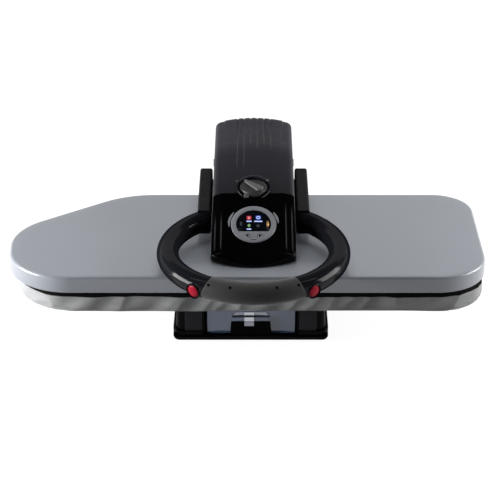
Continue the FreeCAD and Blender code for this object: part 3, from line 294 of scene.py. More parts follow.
def addNode(tree, kind, inputs=(), **settings):
    # a shader node with its settings; each of its inputs is given a value or the output of another node
    node = tree.nodes.new("ShaderNode" + kind)
    for name, value in settings.items():
        setattr(node, name, value)
    for socket, value in dict(inputs).items():
        if isinstance(value, bpy.types.NodeSocket):
            tree.links.new(value, node.inputs[socket])
        else:
            node.inputs[socket].default_value = value
    return node


def worked(tree, operation, *values):
    return addNode(tree, "Math", dict(enumerate(values)), operation=operation).outputs[0]


def mapped(tree, value, first, last, low=0.0, high=1.0):  # first at low, last at high and straight between them
    spread = addNode(tree, "MapRange", {"Value": value, "From Min": low, "From Max": high, "To Min": first,
                                        "To Max": last})
    return spread.outputs["Result"]


def mixedColour(tree, mask, first, second):
    mix = addNode(tree, "Mix", {"A": (*first, 1), "B": (*second, 1), "Factor": mask}, data_type="RGBA")
    return mix.outputs["Result"]


def objectPlace(tree):
    return addNode(tree, "TexCoord").outputs["Object"]


def objectAxis(tree, axis):
    return addNode(tree, "SeparateXYZ", {"Vector": objectPlace(tree)}).outputs[axis]


def newGroup(name, inputs, outputs):
    group = bpy.data.node_groups.new(name, "ShaderNodeTree")
    for socket, value in inputs.items():
        item = group.interface.new_socket(name=socket, in_out="INPUT", socket_type="NodeSocketFloat")
        item.default_value = value
    for socket, kind in outputs.items():
        group.interface.new_socket(name=socket, in_out="OUTPUT", socket_type="NodeSocket" + kind)
    return group, group.nodes.new("NodeGroupInput").outputs, group.nodes.new("NodeGroupOutput").inputs


def makeMottleGroup():  # a soft uneven mask between 0 and 1, and a finer one for wear
    group, given, made = newGroup("mottle", {"Scale": 8.0, "Fine Scale": 90.0},
                                  {"Mask": "Float", "Fine": "Float"})
    where = objectPlace(group)
    for scale, out, detail in (("Scale", "Mask", 4.0), ("Fine Scale", "Fine", 6.0)):
        noise = addNode(group, "TexNoise", {"Detail": detail, "Vector": where, "Scale": given[scale]})
        group.links.new(mapped(group, noise.outputs["Fac"], 0.0, 1.0, 0.32, 0.68), made[out])
    return group


def makeGrainGroup():  # a moulded surface's fine grain as a normal
    group, given, made = newGroup("mouldGrain", {"Scale": 1500.0, "Strength": 0.2, "Depth": 0.0001},
                                  {"Normal": "Vector"})
    noise = addNode(group, "TexNoise", {"Detail": 3.0, "Vector": objectPlace(group), "Scale": given["Scale"]})
    bump = addNode(group, "Bump", {"Strength": given["Strength"], "Distance": given["Depth"],
                                   "Height": noise.outputs["Fac"]})
    group.links.new(bump.outputs["Normal"], made["Normal"])
    return group


def makeWeaveGroup():
    # crossed threads: the product of two sine waves for each pair of axes, added up; and a shade for the slubs
    group, given, made = newGroup("clothWeave", {"Threads": 4200.0}, {"Height": "Float", "Shade": "Float"})
    waves = {axis: worked(group, "SINE", worked(group, "MULTIPLY", objectAxis(group, axis), given["Threads"]))
             for axis in "XYZ"}
    total = 0.0
    for first, second in ("XY", "YZ", "ZX"):
        total = worked(group, "MULTIPLY_ADD", waves[first], waves[second], total)
    group.links.new(mapped(group, total, 0.0, 1.0, -1.5, 1.5), made["Height"])
    slub = addNode(group, "TexNoise", {"Scale": 240.0, "Detail": 5.0, "Vector": objectPlace(group)})
    group.links.new(slub.outputs["Fac"], made["Shade"])
    return group


groups = {"mottle": makeMottleGroup(), "grain": makeGrainGroup(), "weave": makeWeaveGroup()}
materials = {}
socketNames = {"scale": "Scale", "fineScale": "Fine Scale", "strength": "Strength", "depth": "Depth",
               "threads": "Threads", "gloss": "Specular IOR Level", "metal": "Metallic", "sheen": "Sheen Weight",
               "coat": "Coat Weight", "coatRough": "Coat Roughness"}


def place(tree, group, **values):  # one of the shared groups, with its values
    return addNode(tree, "Group", {socketNames[name]: value for name, value in values.items()},
                   node_tree=groups[group])


def shaderOf(material):
    return material.node_tree.nodes["Principled BSDF"].inputs


def surface(name, colour, worn, rough, scale=8.0, fine=120.0, grain=None, **constants):
    # a surface whose colour and roughness both drift between two values, with a fine moulded or cast grain
    material = materials[name] = bpy.data.materials.new(name)
    material.use_nodes = True
    tree, shader = material.node_tree, shaderOf(material)
    mottle = place(tree, "mottle", scale=scale, fineScale=fine)
    tree.links.new(mixedColour(tree, mottle.outputs["Mask"], colour, worn), shader["Base Color"])
    tree.links.new(mapped(tree, mottle.outputs["Fine"], *rough), shader["Roughness"])
    if grain:
        bumps = place(tree, "grain", scale=grain[0], strength=grain[1], depth=grain[2])
        tree.links.new(bumps.outputs["Normal"], shader["Normal"])
    for socket, value in constants.items():
        shader[socketNames[socket]].default_value = value
    return material


def dimEdges(name, low=0.62, high=0.85):  # a gloss that fades where the surface turns away from the eye
    tree, level = materials[name].node_tree, shaderOf(materials[name])["Specular IOR Level"]
    facing = addNode(tree, "LayerWeight", {"Blend": 0.5}).outputs["Facing"]
    tree.links.new(mapped(tree, facing, level.default_value, 0.0, low, high), level)


def glowing(name, colour):
    shader = shaderOf(surface(name, tuple(0.3 * c for c in colour), tuple(0.35 * c for c in colour), (0.3, 0.4)))
    shader["Emission Color"].default_value = (*colour, 1)
    shader["Emission Strength"].default_value = 1.0


def shaded(material, shade):  # the base colour times a shade
    tree, base = material.node_tree, shaderOf(material)["Base Color"]
    tone = addNode(tree, "VectorMath", {0: base.links[0].from_socket, "Scale": shade}, operation="SCALE")
    tree.links.new(tone.outputs["Vector"], base)


def overpainted(material, mask, colour):  # another colour where the mask is 1
    tree, base = material.node_tree, shaderOf(material)["Base Color"]
    mix = addNode(tree, "Mix", {"A": base.links[0].from_socket, "B": (*colour, 1), "Factor": mask},
                  data_type="RGBA")
    tree.links.new(mix.outputs["Result"], base)


def highlightLines(material, colour):  # painted highlight lines, marked on the mesh, in a paler colour
    line = addNode(material.node_tree, "Attribute", attribute_name="line")
    overpainted(material, line.outputs["Fac"], colour)


def boardCloth():  # grey cotton drill: woven threads, slubs, streaks of painted wrinkle shade and a band of painted shade under the plate
    material = surface("boardCloth", (0.445, 0.45, 0.455), (0.495, 0.50, 0.50), (0.72, 0.9), 9.0, 260.0,
                       sheen=0.02, gloss=0.04)
    tree, shader = material.node_tree, shaderOf(material)
    weave = place(tree, "weave", threads=4200.0)
    slubs = mixedColour(tree, weave.outputs["Shade"], (0.75, 0.75, 0.75), (1, 1, 1))
    threads = addNode(tree, "Mix", {"Factor": 0.5, "A": shader["Base Color"].links[0].from_socket, "B": slubs},
                      data_type="RGBA", blend_type="MULTIPLY")
    tree.links.new(threads.outputs["Result"], shader["Base Color"])
    bump = addNode(tree, "Bump", {"Strength": 0.3, "Distance": 0.0002, "Height": weave.outputs["Height"]})
    tree.links.new(bump.outputs["Normal"], shader["Normal"])
    # slanting streaks of painted wrinkle shade, and a band of painted shade round the pad's upper edge, where it
    # lies in the crevice under the plate, found by height
    slant = addNode(tree, "Mapping", {"Vector": objectPlace(tree), "Rotation": (0.0, 0.7, 0.0),
                                      "Scale": (42.0, 42.0, 120.0)})
    streaks = addNode(tree, "TexNoise", {"Scale": 1.0, "Detail": 3.0, "Distortion": 0.6,
                                         "Vector": slant.outputs["Vector"]})
    wrinkleShade = mapped(tree, streaks.outputs["Fac"], 0.92, 1.06, 0.34, 0.66)
    height = objectAxis(tree, "Z")
    # painted shade: the cloth turns almost black in a band below its flat top
    band = worked(tree, "MAXIMUM", mapped(tree, height, 1.0, 0.012, 77.6 * mm, 78.6 * mm),
                  mapped(tree, height, 0.0, 1.0, 86.3 * mm, 86.9 * mm))
    shaded(material, worked(tree, "MULTIPLY", wrinkleShade, band))


def hoodSatin():  # satin black, with painted shade that darkens it towards the front
    material = surface("hoodSatin", (0.030, 0.0285, 0.037), (0.034, 0.0325, 0.0415), (0.42, 0.52), 7.0, 180.0,
                       (2200, 0.25, 0.00005), gloss=0.12)
    tree = material.node_tree
    # painted shade: the base colour falls from full at the back to 0.45 of it at the front
    shaded(material, mapped(tree, objectAxis(tree, "Y"), 0.45, 1.0, -70 * mm, 140 * mm))
    # painted highlights: the grooves' lines in a paler satin
    highlightLines(material, (0.062, 0.060, 0.068))


def pressBlacks():  # the black plastics: gloss, ring, pod, dial, satin, arm, base, cheek and deep
    gloss = (0.0008, 0.0007, 0.0010), (0.0014, 0.0013, 0.0017)
    surface("glossBlack", *gloss, (0.05, 0.11), 6.0, 60.0, gloss=0.14)
    surface("ringBlack", (0.0078, 0.0081, 0.0105), (0.0092, 0.0096, 0.0120), (0.08, 0.14), 6.0, 60.0, gloss=0.11)
    pod = surface("podBlack", *gloss, (0.05, 0.11), 6.0, 60.0, gloss=0.14)
    # painted highlights: the pod's bevel lines in a paler black
    highlightLines(pod, (0.06, 0.06, 0.066))
    dial = surface("dialBlack", *gloss, (0.08, 0.14), 6.0, 60.0, gloss=0.14)
    back = mapped(dial.node_tree, objectAxis(dial.node_tree, "Y"), 0.0, 1.0, -67 * mm, -64 * mm)
    overpainted(dial, back, (0.0235, 0.0225, 0.0285))  # the hood's satin tone behind, gloss black in front
    surface("satinBlack", (0.0215, 0.0205, 0.0265), (0.0250, 0.0240, 0.0305), (0.42, 0.52), 7.0, 180.0,
            (2200, 0.25, 0.00005), gloss=0.15)
    surface("armBlack", (0.0070, 0.0070, 0.0085), (0.0088, 0.0088, 0.0102), (0.45, 0.55), 7.0, 180.0,
            (2400, 0.2, 0.00005), gloss=0.05)
    surface("basePlastic", (0.0010, 0.0010, 0.0014), (0.0018, 0.0018, 0.0024), (0.18, 0.28), 9.0, 120.0,
            (2600, 0.1, 0.00004), gloss=0.04)
    surface("cheekSatin", (0.0085, 0.0088, 0.0108), (0.0105, 0.0108, 0.0130), (0.5, 0.6), 9.0, 160.0,
            (2400, 0.25, 0.00005), gloss=0.15)
    surface("deepBlack", (0.0010, 0.0009, 0.0012), (0.0016, 0.0015, 0.0019), (0.12, 0.2), 8.0, 90.0, gloss=0.015)
    for name in ("glossBlack", "basePlastic", "podBlack", "dialBlack", "cheekSatin"):
        dimEdges(name)
    dimEdges("ringBlack", 0.40, 0.66)


def pressTrim():  # paint, grip, buttons, bezel, dial, marks and tank
    surface("platePaint", (0.283, 0.302, 0.340), (0.300, 0.318, 0.357), (0.30, 0.38), 3.0, 700.0,
            (2600, 0.12, 0.00006), metal=0.05, coat=0.6, coatRough=0.25)
    surface("gripRubber", (0.040, 0.040, 0.0395), (0.048, 0.0475, 0.047), (0.55, 0.68), 10.0, 300.0,
            (3200, 0.35, 0.00008), sheen=0.12, gloss=0.15)
    surface("buttonRed", (0.30, 0.003, 0.018), (0.35, 0.005, 0.024), (0.28, 0.36), 30.0, 400.0, gloss=0.12)
    surface("bezelSilverAndGlint", (0.200, 0.207, 0.228), (0.225, 0.232, 0.253), (0.3, 0.4), 12.0, 500.0,
            (3600, 0.12, 0.00003), metal=0.1)
    surface("displayGlass", (0.002, 0.0026, 0.0045), (0.003, 0.0038, 0.006), (0.06, 0.12), 20.0, 60.0, gloss=0.15)
    surface("knobGrey", (0.012, 0.012, 0.013), (0.016, 0.016, 0.017), (0.42, 0.52), 20.0, 300.0,
            (3000, 0.3, 0.00006))
    surface("knobPale", (0.078, 0.078, 0.079), (0.092, 0.092, 0.092), (0.42, 0.52), 20.0, 300.0,
            (3000, 0.3, 0.00006))
    surface("printAndGlintGrey", (0.075, 0.075, 0.080), (0.09, 0.09, 0.095), (0.5, 0.6), 40.0, 600.0)
    surface("rimHighlight", (0.10, 0.10, 0.105), (0.125, 0.125, 0.13), (0.3, 0.4), 40.0, 600.0)
    surface("markDark", (0.003, 0.003, 0.004), (0.006, 0.006, 0.007), (0.5, 0.6), 40.0, 600.0, gloss=0.05)
    surface("keyGrey", (0.25, 0.26, 0.28), (0.28, 0.29, 0.31), (0.35, 0.45), 30.0, 500.0)
    surface("tankClear", (0.09, 0.135, 0.23), (0.11, 0.155, 0.26), (0.12, 0.2), 8.0, 80.0, gloss=0.85)
    # the scoop's pale tone, also used for the lowest strip of painted highlight
    surface("tankPaleAndGlint", (0.18, 0.19, 0.22), (0.21, 0.22, 0.25), (0.2, 0.3), 12.0, 120.0, metal=1.0)
    surface("tankShade", (0.05, 0.055, 0.07), (0.07, 0.075, 0.09), (0.3, 0.4), 20.0, 120.0, gloss=0.1)
    # painted highlight: a pale metal for glints on the tank's pull and the knob
    surface("glintPale", (0.35, 0.37, 0.41), (0.39, 0.41, 0.45), (0.15, 0.25), 20.0, 120.0, metal=1.0)
    for name, colour in (("iconRed", (0.36, 0.02, 0.035)), ("iconPink", (0.6, 0.22, 0.25)),
                         ("iconBlue", (0.012, 0.03, 0.22)), ("iconWhite", (0.42, 0.52, 0.95)),
                         ("iconGreen", (0.16, 0.3, 0.12)), ("iconOrange", (0.19, 0.10, 0.045)),
                         ("iconAmber", (0.75, 0.42, 0.14)), ("iconDim", (0.022, 0.026, 0.034))):
        glowing(name, colour)


def innerParts():  # rubber, metals, fibre, board and plastics of what the covers hide
    surface("rubberBlack", (0.02, 0.02, 0.02), (0.03, 0.03, 0.03), (0.7, 0.85), 14.0, 300.0, (2000, 0.4, 0.0001))
    surface("zincSteel", (0.55, 0.56, 0.58), (0.45, 0.46, 0.48), (0.25, 0.45), 20.0, 300.0, metal=1.0)
    surface("blackSteel", (0.03, 0.03, 0.032), (0.04, 0.04, 0.042), (0.45, 0.6), 12.0, 300.0,
            (1800, 0.4, 0.0001), metal=0.2)
    surface("sheetSteel", (0.5, 0.51, 0.52), (0.42, 0.43, 0.44), (0.3, 0.5), 16.0, 120.0, metal=1.0)
    surface("soleMetal", (0.62, 0.63, 0.65), (0.55, 0.56, 0.58), (0.22, 0.36), 10.0, 200.0, metal=1.0)
    surface("matFibre", (0.7, 0.69, 0.64), (0.78, 0.77, 0.72), (0.9, 1.0), 30.0, 500.0, (1200, 0.8, 0.0004))
    surface("brass", (0.65, 0.46, 0.2), (0.5, 0.34, 0.14), (0.25, 0.42), 25.0, 300.0, metal=1.0)
    surface("whitePlastic", (0.6, 0.6, 0.57), (0.66, 0.66, 0.63), (0.4, 0.5), 20.0, 300.0)
    surface("circuitGreen", (0.02, 0.13, 0.05), (0.03, 0.17, 0.07), (0.3, 0.45), 40.0, 900.0)
    surface("heaterSheath", (0.2, 0.19, 0.185), (0.13, 0.11, 0.1), (0.35, 0.55), 30.0, 300.0, metal=1.0)


boardCloth()
hoodSatin()
pressBlacks()
pressTrim()
innerParts()
print("materials made:", len(materials))

nodeFinish = {
    "basePlastic": ["base_tray", "base_cover", "tank_bay", "power_inlet"],
    "satinBlack": ["column_cover", "hood", "hood_base"],
    "armBlack": ["lever_arm_left", "lever_arm_right"],
    "rubberBlack": ["rubber_feet", "feed_hose"],
    "zincSteel": ["base_screws", "board_bolts", "plate_bolts", "pin_clips", "hinge_pin", "lever_shaft",
                  "handle_core", "lift_springs", "knob_shaft"],
    "blackSteel": ["hinge_frame", "board_frame", "arm_beam", "plate_bracket", "grip_screws"],
    "sheetSteel": ["board_tray"],
    "matFibre": ["board_pad", "insulation"],
    "boardCloth": ["board_cover"],
    "tankClear": ["tank", "tank_lid"],
    "glossBlack": ["tank_grip", "tank_cap", "pod_cover", "button_collars"],
    "dialBlack": ["dial_plate"],
    "ringBlack": ["handle_ring_left", "handle_ring_right"],
    "whitePlastic": ["tank_valve", "pump", "hinge_bushes"],
    "circuitGreen": ["control_board", "display_board"],
    "platePaint": ["plate_cover"],
    "soleMetal": ["sole_plate", "steam_chamber"],
    "heaterSheath": ["heating_element"],
    "brass": ["steam_pipe", "steam_valve", "thermostat"],
    "bezelSilverAndGlint": ["bezel"],
    "displayGlass": ["display_lens"],
    "knobGrey": ["knob"],
    "gripRubber": ["handle_grip"],
    "buttonRed": ["button_left", "button_right"],
    "keyGrey": ["panel_button_left", "panel_button_right"],
}
for finish, names in nodeFinish.items():
    for name in names:
        cadNodes[name].data.materials.clear()
        cadNodes[name].data.materials.append(materials[finish])
print("CAD nodes finished")


# Plate and board share one plan outline

boardPlan = {
    **inMm(right=314.2, length=641, noseSharp=4, front=-204, depth=269.3, noseDepth=148.5, frontRun=12.3,
           backRun=152, rounds=[92, 88, 69, 55, 118]), "points": 560,
}


def planOutline():  # five corners, rounded, from the nose tip round the front, counter-clockwise
    right = boardPlan["right"]
    tip = right - boardPlan["length"] - boardPlan["noseSharp"]
    front, back = boardPlan["front"], boardPlan["front"] + boardPlan["depth"]
    corners = [(tip, front + boardPlan["noseDepth"]), (tip + boardPlan["frontRun"], front), (right, front),
               (right, back), (tip + boardPlan["backRun"], back)]
    return evenly(roundedPath(corners, boardPlan["rounds"], 40, closed=True), boardPlan["points"], closed=True)


plan = planOutline()
planOutward = outwardOf(plan)


def planRings(profile):  # the outline moved inwards and up by each pair of the profile
    profile = np.asarray(profile, float)
    rows = plan[None] - profile[:, :1, None] * planOutward[None]
    return np.concatenate([rows, np.broadcast_to(profile[:, 1][:, None, None], rows.shape[:2] + (1,))], axis=2)


def closingRings(ring, shares=(0.04, 0.3, 0.65, 0.93)):  # rings that shrink towards the ring's own middle
    middle = ring.mean(0)
    return np.stack([ring + (middle - ring) * share for share in shares])


def quarter(inset, high, radius, steps):  # a rounded upper edge, as inset and height
    turn = np.linspace(0, np.pi / 2, steps)
    return [(inset + radius * (1 - math.cos(t)), high - radius + radius * math.sin(t)) for t in turn]


plateShape = {**inMm(low=89.6, top=112.6, edge=4.0, foot=0.9, wall=2.0, fold=1.5), "steps": 9}


def makePlate():  # a painted steel skin: lip, upright side, rounded edge, flat top and the same again inside
    p = plateShape
    foot = [(p["foot"] * (1 - math.sin(t)), p["low"] + p["foot"] * (1 - math.cos(t)))
            for t in np.linspace(0, np.pi / 2, 4)]
    outer = planRings(foot + quarter(0, p["top"], p["edge"], p["steps"]))
    inner = planRings([(p["wall"] + p["fold"], p["top"] - p["wall"]), (p["wall"], p["low"])])
    grid = np.concatenate([inner[1:2], outer, closingRings(outer[-1])])
    under = np.concatenate([closingRings(inner[0])[::-1], inner[:1], inner[1:2]])
    top = gridMesh("plateTop", grid, lastPole=outer[-1].mean(0), sharpAngle=50)
    bottom = gridMesh("plateUnder", under, firstPole=inner[0].mean(0), sharpAngle=50)
    bottom.data.flip_normals()
    skin = mergeDoubles(joined("plateSkin", [top, bottom]), 50)
    finishPiece(skin, "arm", "platePaint", ["plate_cover"])


makePlate()
print("plate made")

padShape = {
    **inMm(inset=6.8, shift=4.9, low=56.1, under=54.5, start=86.2, top=87.3, edge=8, hem=2.2, lip=11, voxel=5,
           cap=1.6, wrinkle=1.7, crease=1.8, bulge=1.2, wave=0.9, foldPitch=20),
    "stretch": 1.008, "pressure": 4, "frames": 20,
}


def swollenPad(pad):
    # an even voxel mesh, pressed out from inside as cloth for some frames; no point moves further than the cap
    p = padShape
    even = pad.modifiers.new("even", "REMESH")
    even.mode = "VOXEL"
    even.voxel_size = p["voxel"]
    applied(pad)
    start = pointsOf(pad)
    cloth = pad.modifiers.new("cloth", "CLOTH")
    cloth.settings.use_pressure = True
    cloth.settings.uniform_pressure_force = p["pressure"]
    cloth.settings.effector_weights.gravity = 0
    cloth.point_cache.frame_end = p["frames"]
    for step in range(1, p["frames"] + 1):
        bpy.context.scene.frame_set(step)
    applied(pad)
    bpy.context.scene.frame_set(1)
    move = pointsOf(pad) - start
    length = np.linalg.norm(move, axis=1, keepdims=True)
    move *= np.minimum(1, p["cap"] / np.maximum(length, 1e-9))
    move[start[:, 2] < p["low"] + 1 * mm, 2] = 0
    movePoints(pad, start + move)
    soft = pad.modifiers.new("soft", "SUBSURF")
    soft.levels = soft.render_levels = 1
    return applied(pad)


def sideFolds(points):
    # outward shift on the skirt: slanting soft folds and thin ridged creases, strongest low down, none at the top
    p = padShape
    edge = (plan - p["inset"] * planOutward) * [p["stretch"], 1] + [p["shift"], 0]
    along = unit(np.roll(edge, -1, axis=0) - np.roll(edge, 1, axis=0))
    near = np.argmin(((points[:, None, :2] - edge[None]) ** 2).sum(2), axis=1)
    step = np.linalg.norm(edge[1] - edge[0])
    offset = points[:, :2] - edge[near]
    length = near * step + (offset * along[near]).sum(1)
    outward = planOutward[near]
    depth = -(offset * outward).sum(1)
    v = (points[:, 2] - p["low"]) / (p["top"] - p["low"])
    total = step * len(edge)
    seam = smoothStep(0, 0.03, np.minimum(length, total - length))  # fades where the outline's count starts again
    s = length / p["foldPitch"]
    folds = softNoise(s + 0.9 * v, v * 1.4, 11, spread=1.1)
    creases = 1 - np.abs(softNoise(s * 1.5 - 1.6 * v, v * 0.8, 23, spread=1.3))
    hold = smoothStep(1.0, 0.6, v) * (0.3 + 0.7 * seam) * smoothStep(6 * mm, 2 * mm, depth)
    out = (p["wrinkle"] * (folds - 0.7) + p["crease"] * (creases - 0.9)) * hold
    points[:, :2] += np.minimum(out, p["bulge"])[:, None] * outward
    wave = softNoise(s * 0.8, 0 * s, 31) * smoothStep(0.25, 0.0, v) * smoothStep(9 * mm, 4 * mm, depth)
    points[:, 2] += np.where(v < 0.3, p["wave"] * wave, 0)
    return points


def makeBoardPad():
    # a foam pad in its cloth: flat top, rounded edge, upright side, hem and flat underside, swelled, then creased
    p = padShape
    edge = quarter(p["inset"], p["start"], p["edge"], 8)[::-1]
    hem = [(p["inset"] + p["hem"] * (1 - math.cos(t)), p["low"] + p["hem"] * (1 - math.sin(t)))
           for t in np.linspace(0, np.pi / 2, 5)]
    profile = edge + hem + [(p["inset"] + 6 * mm, p["low"]), (p["inset"] + p["lip"], p["under"])]
    grid = planRings(profile)
    grid[:, :, 0] = grid[:, :, 0] * p["stretch"] + p["shift"]
    full = np.concatenate([closingRings(grid[0])[::-1], grid, closingRings(grid[-1])])
    pad = gridMesh("boardPad", full, firstPole=full[0].mean(0), lastPole=full[-1].mean(0), sharpAngle=180)
    swollenPad(pad)
    points = pointsOf(pad)
    side = (points[:, 2] < p["top"] - 2 * mm) & (points[:, 2] > p["under"] + 0.6 * mm)
    points[side] = sideFolds(points[side])
    points[:, 2] = np.minimum(points[:, 2], p["top"])
    movePoints(pad, points)
    smoothed(pad, 80)
    finishPiece(pad, "base", "boardCloth", ["board_cover", "board_pad"])


makeBoardPad()
print("board pad made")


# Hood and pod share their walls' lean

shellShape = {**inMm(half=56.4, level=150, wall=2.4, seam=-72.9), "lean": 0.4}
faceRise = (175 - 118) / (176 - 72.5)
faceTilt = math.degrees(math.atan(faceRise))


def shellHalf(height):  # the walls' distance from the arm's middle, a little wider towards the foot
    return shellShape["half"] * (1 + shellShape["lean"] * (shellShape["level"] - height))


dialShape = {
    "centre": (armX, -58 * mm, 172.6 * mm), "tilt": 6.0, "finTurn": -47.0,
    "rims": (("dialRimLeft", 205, 232), ("dialRimRight", 296, 337)), "scale": (42, 138),
    **inMm(radius=23.9, way=24.05, knob=18.5, knobLow=0.5, knobRise=6.3, finRise=2.9,
           fin=(2.0, 5.8, -15.8, 11.2),  # the fin's small and large radius, and their places
           tab=(7.0, 5.6), tabMiddle=(-9.9, -19.0), fullMark=(4.2, 3.4), fullMiddle=(18.9, 28.2), lowMark=1.8,
           lowMiddle=(-22.6, 26.6)),
}
onDial = spotAt(dialShape["centre"], dialShape["tilt"])


def plug(name, radius, low, high, spot):  # a round bar, used to cut holes
    return turnedShape(name, [(0, high), (radius, high), (radius, low), (0, low)], spot, 96)


def dialWay():  # the room for the dial's cup
    return plug("dialWay", dialShape["way"], -9 * mm, 30 * mm, onDial)


hoodShape = {
    **inMm(round=9, crown=5.6, crownFront=0.8, panelHalf=41.3, panelRise=1.1, panelStart=(95, 135),
           grooveFirst=-23.3, groovePitch=9.56, grooveWidth=0.7, grooveDepth=0.6, grooveFade=22,
           grooveEnds=[-22, -22, 32, 21, 41, 28], faintLine=39.3, faintStart=(28, 60), scallop=0.9,
           scallopStart=(55, 115), side=[(-72.1, 175), (30, 201), (150, 207.2), (150, 124.5)],
           bends=[0, 160, 26, 0], foot=[(-72.1, 114.5), (138, 114.5), (150, 124.5)], footBends=[0, 2, 0]),
    "rearFade": 0.80, "columns": 261, "stations": 110,
}


def markHighlightLines(piece, strength):  # a value from 0 to 1 for each vertex, which the material shows as paler lines of painted highlight
    marks = piece.data.attributes.new("line", "FLOAT", "POINT")
    marks.data.foreach_set("value", strength.ravel().astype(np.float32))


def makeHood():
    # the side view's line carries a crowned roof, lower by the square of the distance from its middle, with a raised
    # panel, thin grooves and scallops between them; it turns over rounded edges into leaning walls
    h = hoodShape
    line = evenly(roundedPath(h["side"], h["bends"], 16), h["stations"])
    foot = evenly(roundedPath(h["foot"], h["footBends"], 4), h["stations"])
    along = unit(np.gradient(line, axis=0))
    up = np.stack([-along[:, 1], along[:, 0]], axis=1)
    back = line[:, :1]
    travel = np.linspace(0, 1, h["stations"])
    upper = smoothStep(1.0, h["rearFade"], travel)[:, None]
    crown = h["crownFront"] + (h["crown"] - h["crownFront"]) * smoothStep(0.0, 0.5, travel)[:, None] * upper
    half = shellHalf(line[:, 1:])
    slope = np.arctan(2 * crown / half)
    reach = half - h["round"] + h["round"] * np.sin(slope)
    share = np.linspace(-1, 1, h["columns"])
    x = share[None] * reach
    sink = crown * (x / reach) ** 2
    panel = smoothStep(h["panelHalf"] + 1.0 * mm, h["panelHalf"], np.abs(x)) * h["panelRise"]
    panel = panel * smoothStep(*h["panelStart"], back) * upper
    grooves = np.zeros_like(x)
    for count, end in enumerate(h["grooveEnds"]):
        middle = h["grooveFirst"] + count * h["groovePitch"]
        fade = smoothStep(end, end + h["grooveFade"], back)
        grooves = grooves + np.exp(-((x - middle) / h["grooveWidth"]) ** 2) * fade
    between = np.abs(np.sin(np.pi * (x - h["grooveFirst"]) / h["groovePitch"]))
    last = h["grooveFirst"] + 5 * h["groovePitch"]
    within = smoothStep(h["grooveFirst"] - 0.5 * mm, h["grooveFirst"], x) * smoothStep(last + 0.5 * mm, last, x)
    scallops = h["scallop"] * (between ** 0.6 - 1) * within * smoothStep(*h["scallopStart"], back)
    lift = panel - h["grooveDepth"] * grooves * upper + scallops * upper - sink - h["panelRise"]
    turn = np.linspace(0, 1, 9)[1:]
    angle = (np.pi / 2 - slope) * (1 - turn[None])
    edgeLift = -crown - h["panelRise"] - h["round"] * (np.cos(slope) - np.sin(angle))
    edgeX = half - h["round"] + h["round"] * np.cos(angle)
    top = np.concatenate([edgeLift[:, ::-1], lift, edgeLift], axis=1)
    roof = line[:, None] + top[:, :, None] * up[:, None]
    roofX = np.concatenate([-edgeX[:, ::-1], x, edgeX], axis=1)
    edge = roof[:, -1]
    wall = edge[:, None] + (foot - edge)[:, None] * np.linspace(0, 1, 14)[1:][None, :, None]
    wallX = shellHalf(wall[:, :, 1]) + (edgeX[:, -1:] - shellHalf(edge[:, 1:]))
    yz = np.concatenate([wall[:, ::-1], roof, wall], axis=1)
    xs = np.concatenate([-wallX[:, ::-1], roofX, wallX], axis=1)
    grid = np.concatenate([xs[:, :, None] + armX, yz], axis=2)
    hood = gridMesh("hoodShell", grid, around=False, sharpAngle=35)
    # the grooves and a faint line near the panel's edge get lines of painted highlight
    faint = np.exp(-((x - h["faintLine"]) / h["grooveWidth"]) ** 2) * smoothStep(*h["faintStart"], back)
    lines = np.zeros(xs.shape)
    first = wallX.shape[1] + edgeX.shape[1]
    lines[:, first:first + h["columns"]] = np.clip(grooves + 0.4 * faint, 0, 1) * upper
    markHighlightLines(hood, lines)
    mergeDoubles(hood, 35)
    cutAway(walled(hood, shellShape["wall"]), [dialWay()], 35)
    finishPiece(hood, "arm", "hoodSatin", ["hood"])


makeHood()
print("hood made")

podShape = {
    **inMm(nose=-176.8, noseBow=15, bowHalf=48, corner=-156.4, cornerRound=10, base=114.5, seamHeight=175,
           bevel=12.6, drop=6.5, noseBevel=3, noseDrop=1.3, spineFront=-150, innerRound=3,
           section=[(0, -14), (0, -6.5), (12.6, 0), (18, 0)], sectionBends=[0, 5, 6, 0], lineInsets=(4.7, 12.9),
           lineWidth=0.7, lineFront=(-157, -150), lineBack=(-100, -84), lineFade=25),
    "counts": (30, 16, 61), "wallRows": 11, "faceRows": 9,
}


def podCurve(inset, noseInset, cornerRound):
    # half a plan outline, from the seam round the corner to the middle of the nose, and the same mirrored
    p = podShape
    side = shellShape["half"] - inset
    nose = p["nose"] + noseInset
    bow = lambda x: nose + p["noseBow"] * (x / p["bowHalf"]) ** 2
    corner = np.array([side, bow(side)])
    slant = unit(np.array([side - 8 * mm, bow(side - 8 * mm)]) - corner)
    half = math.acos(slant @ np.array([0, 1])) / 2
    reach = cornerRound / math.tan(half)
    start, end = corner + np.array([0, reach]), corner + slant * reach
    wall = np.linspace([side, shellShape["seam"]], start, p["counts"][0] + 1)[:-1]
    t = np.linspace(0, 1, p["counts"][1] + 1)[:-1, None]
    arc = (1 - t) ** 2 * start + 2 * t * (1 - t) * corner + t ** 2 * end
    x = np.linspace(end[0], 0, p["counts"][2] // 2 + 1)
    middle = np.stack([x, bow(x)], axis=1)
    right = np.concatenate([wall, arc, middle])
    return np.concatenate([right, (right * [-1, 1])[-2::-1]])


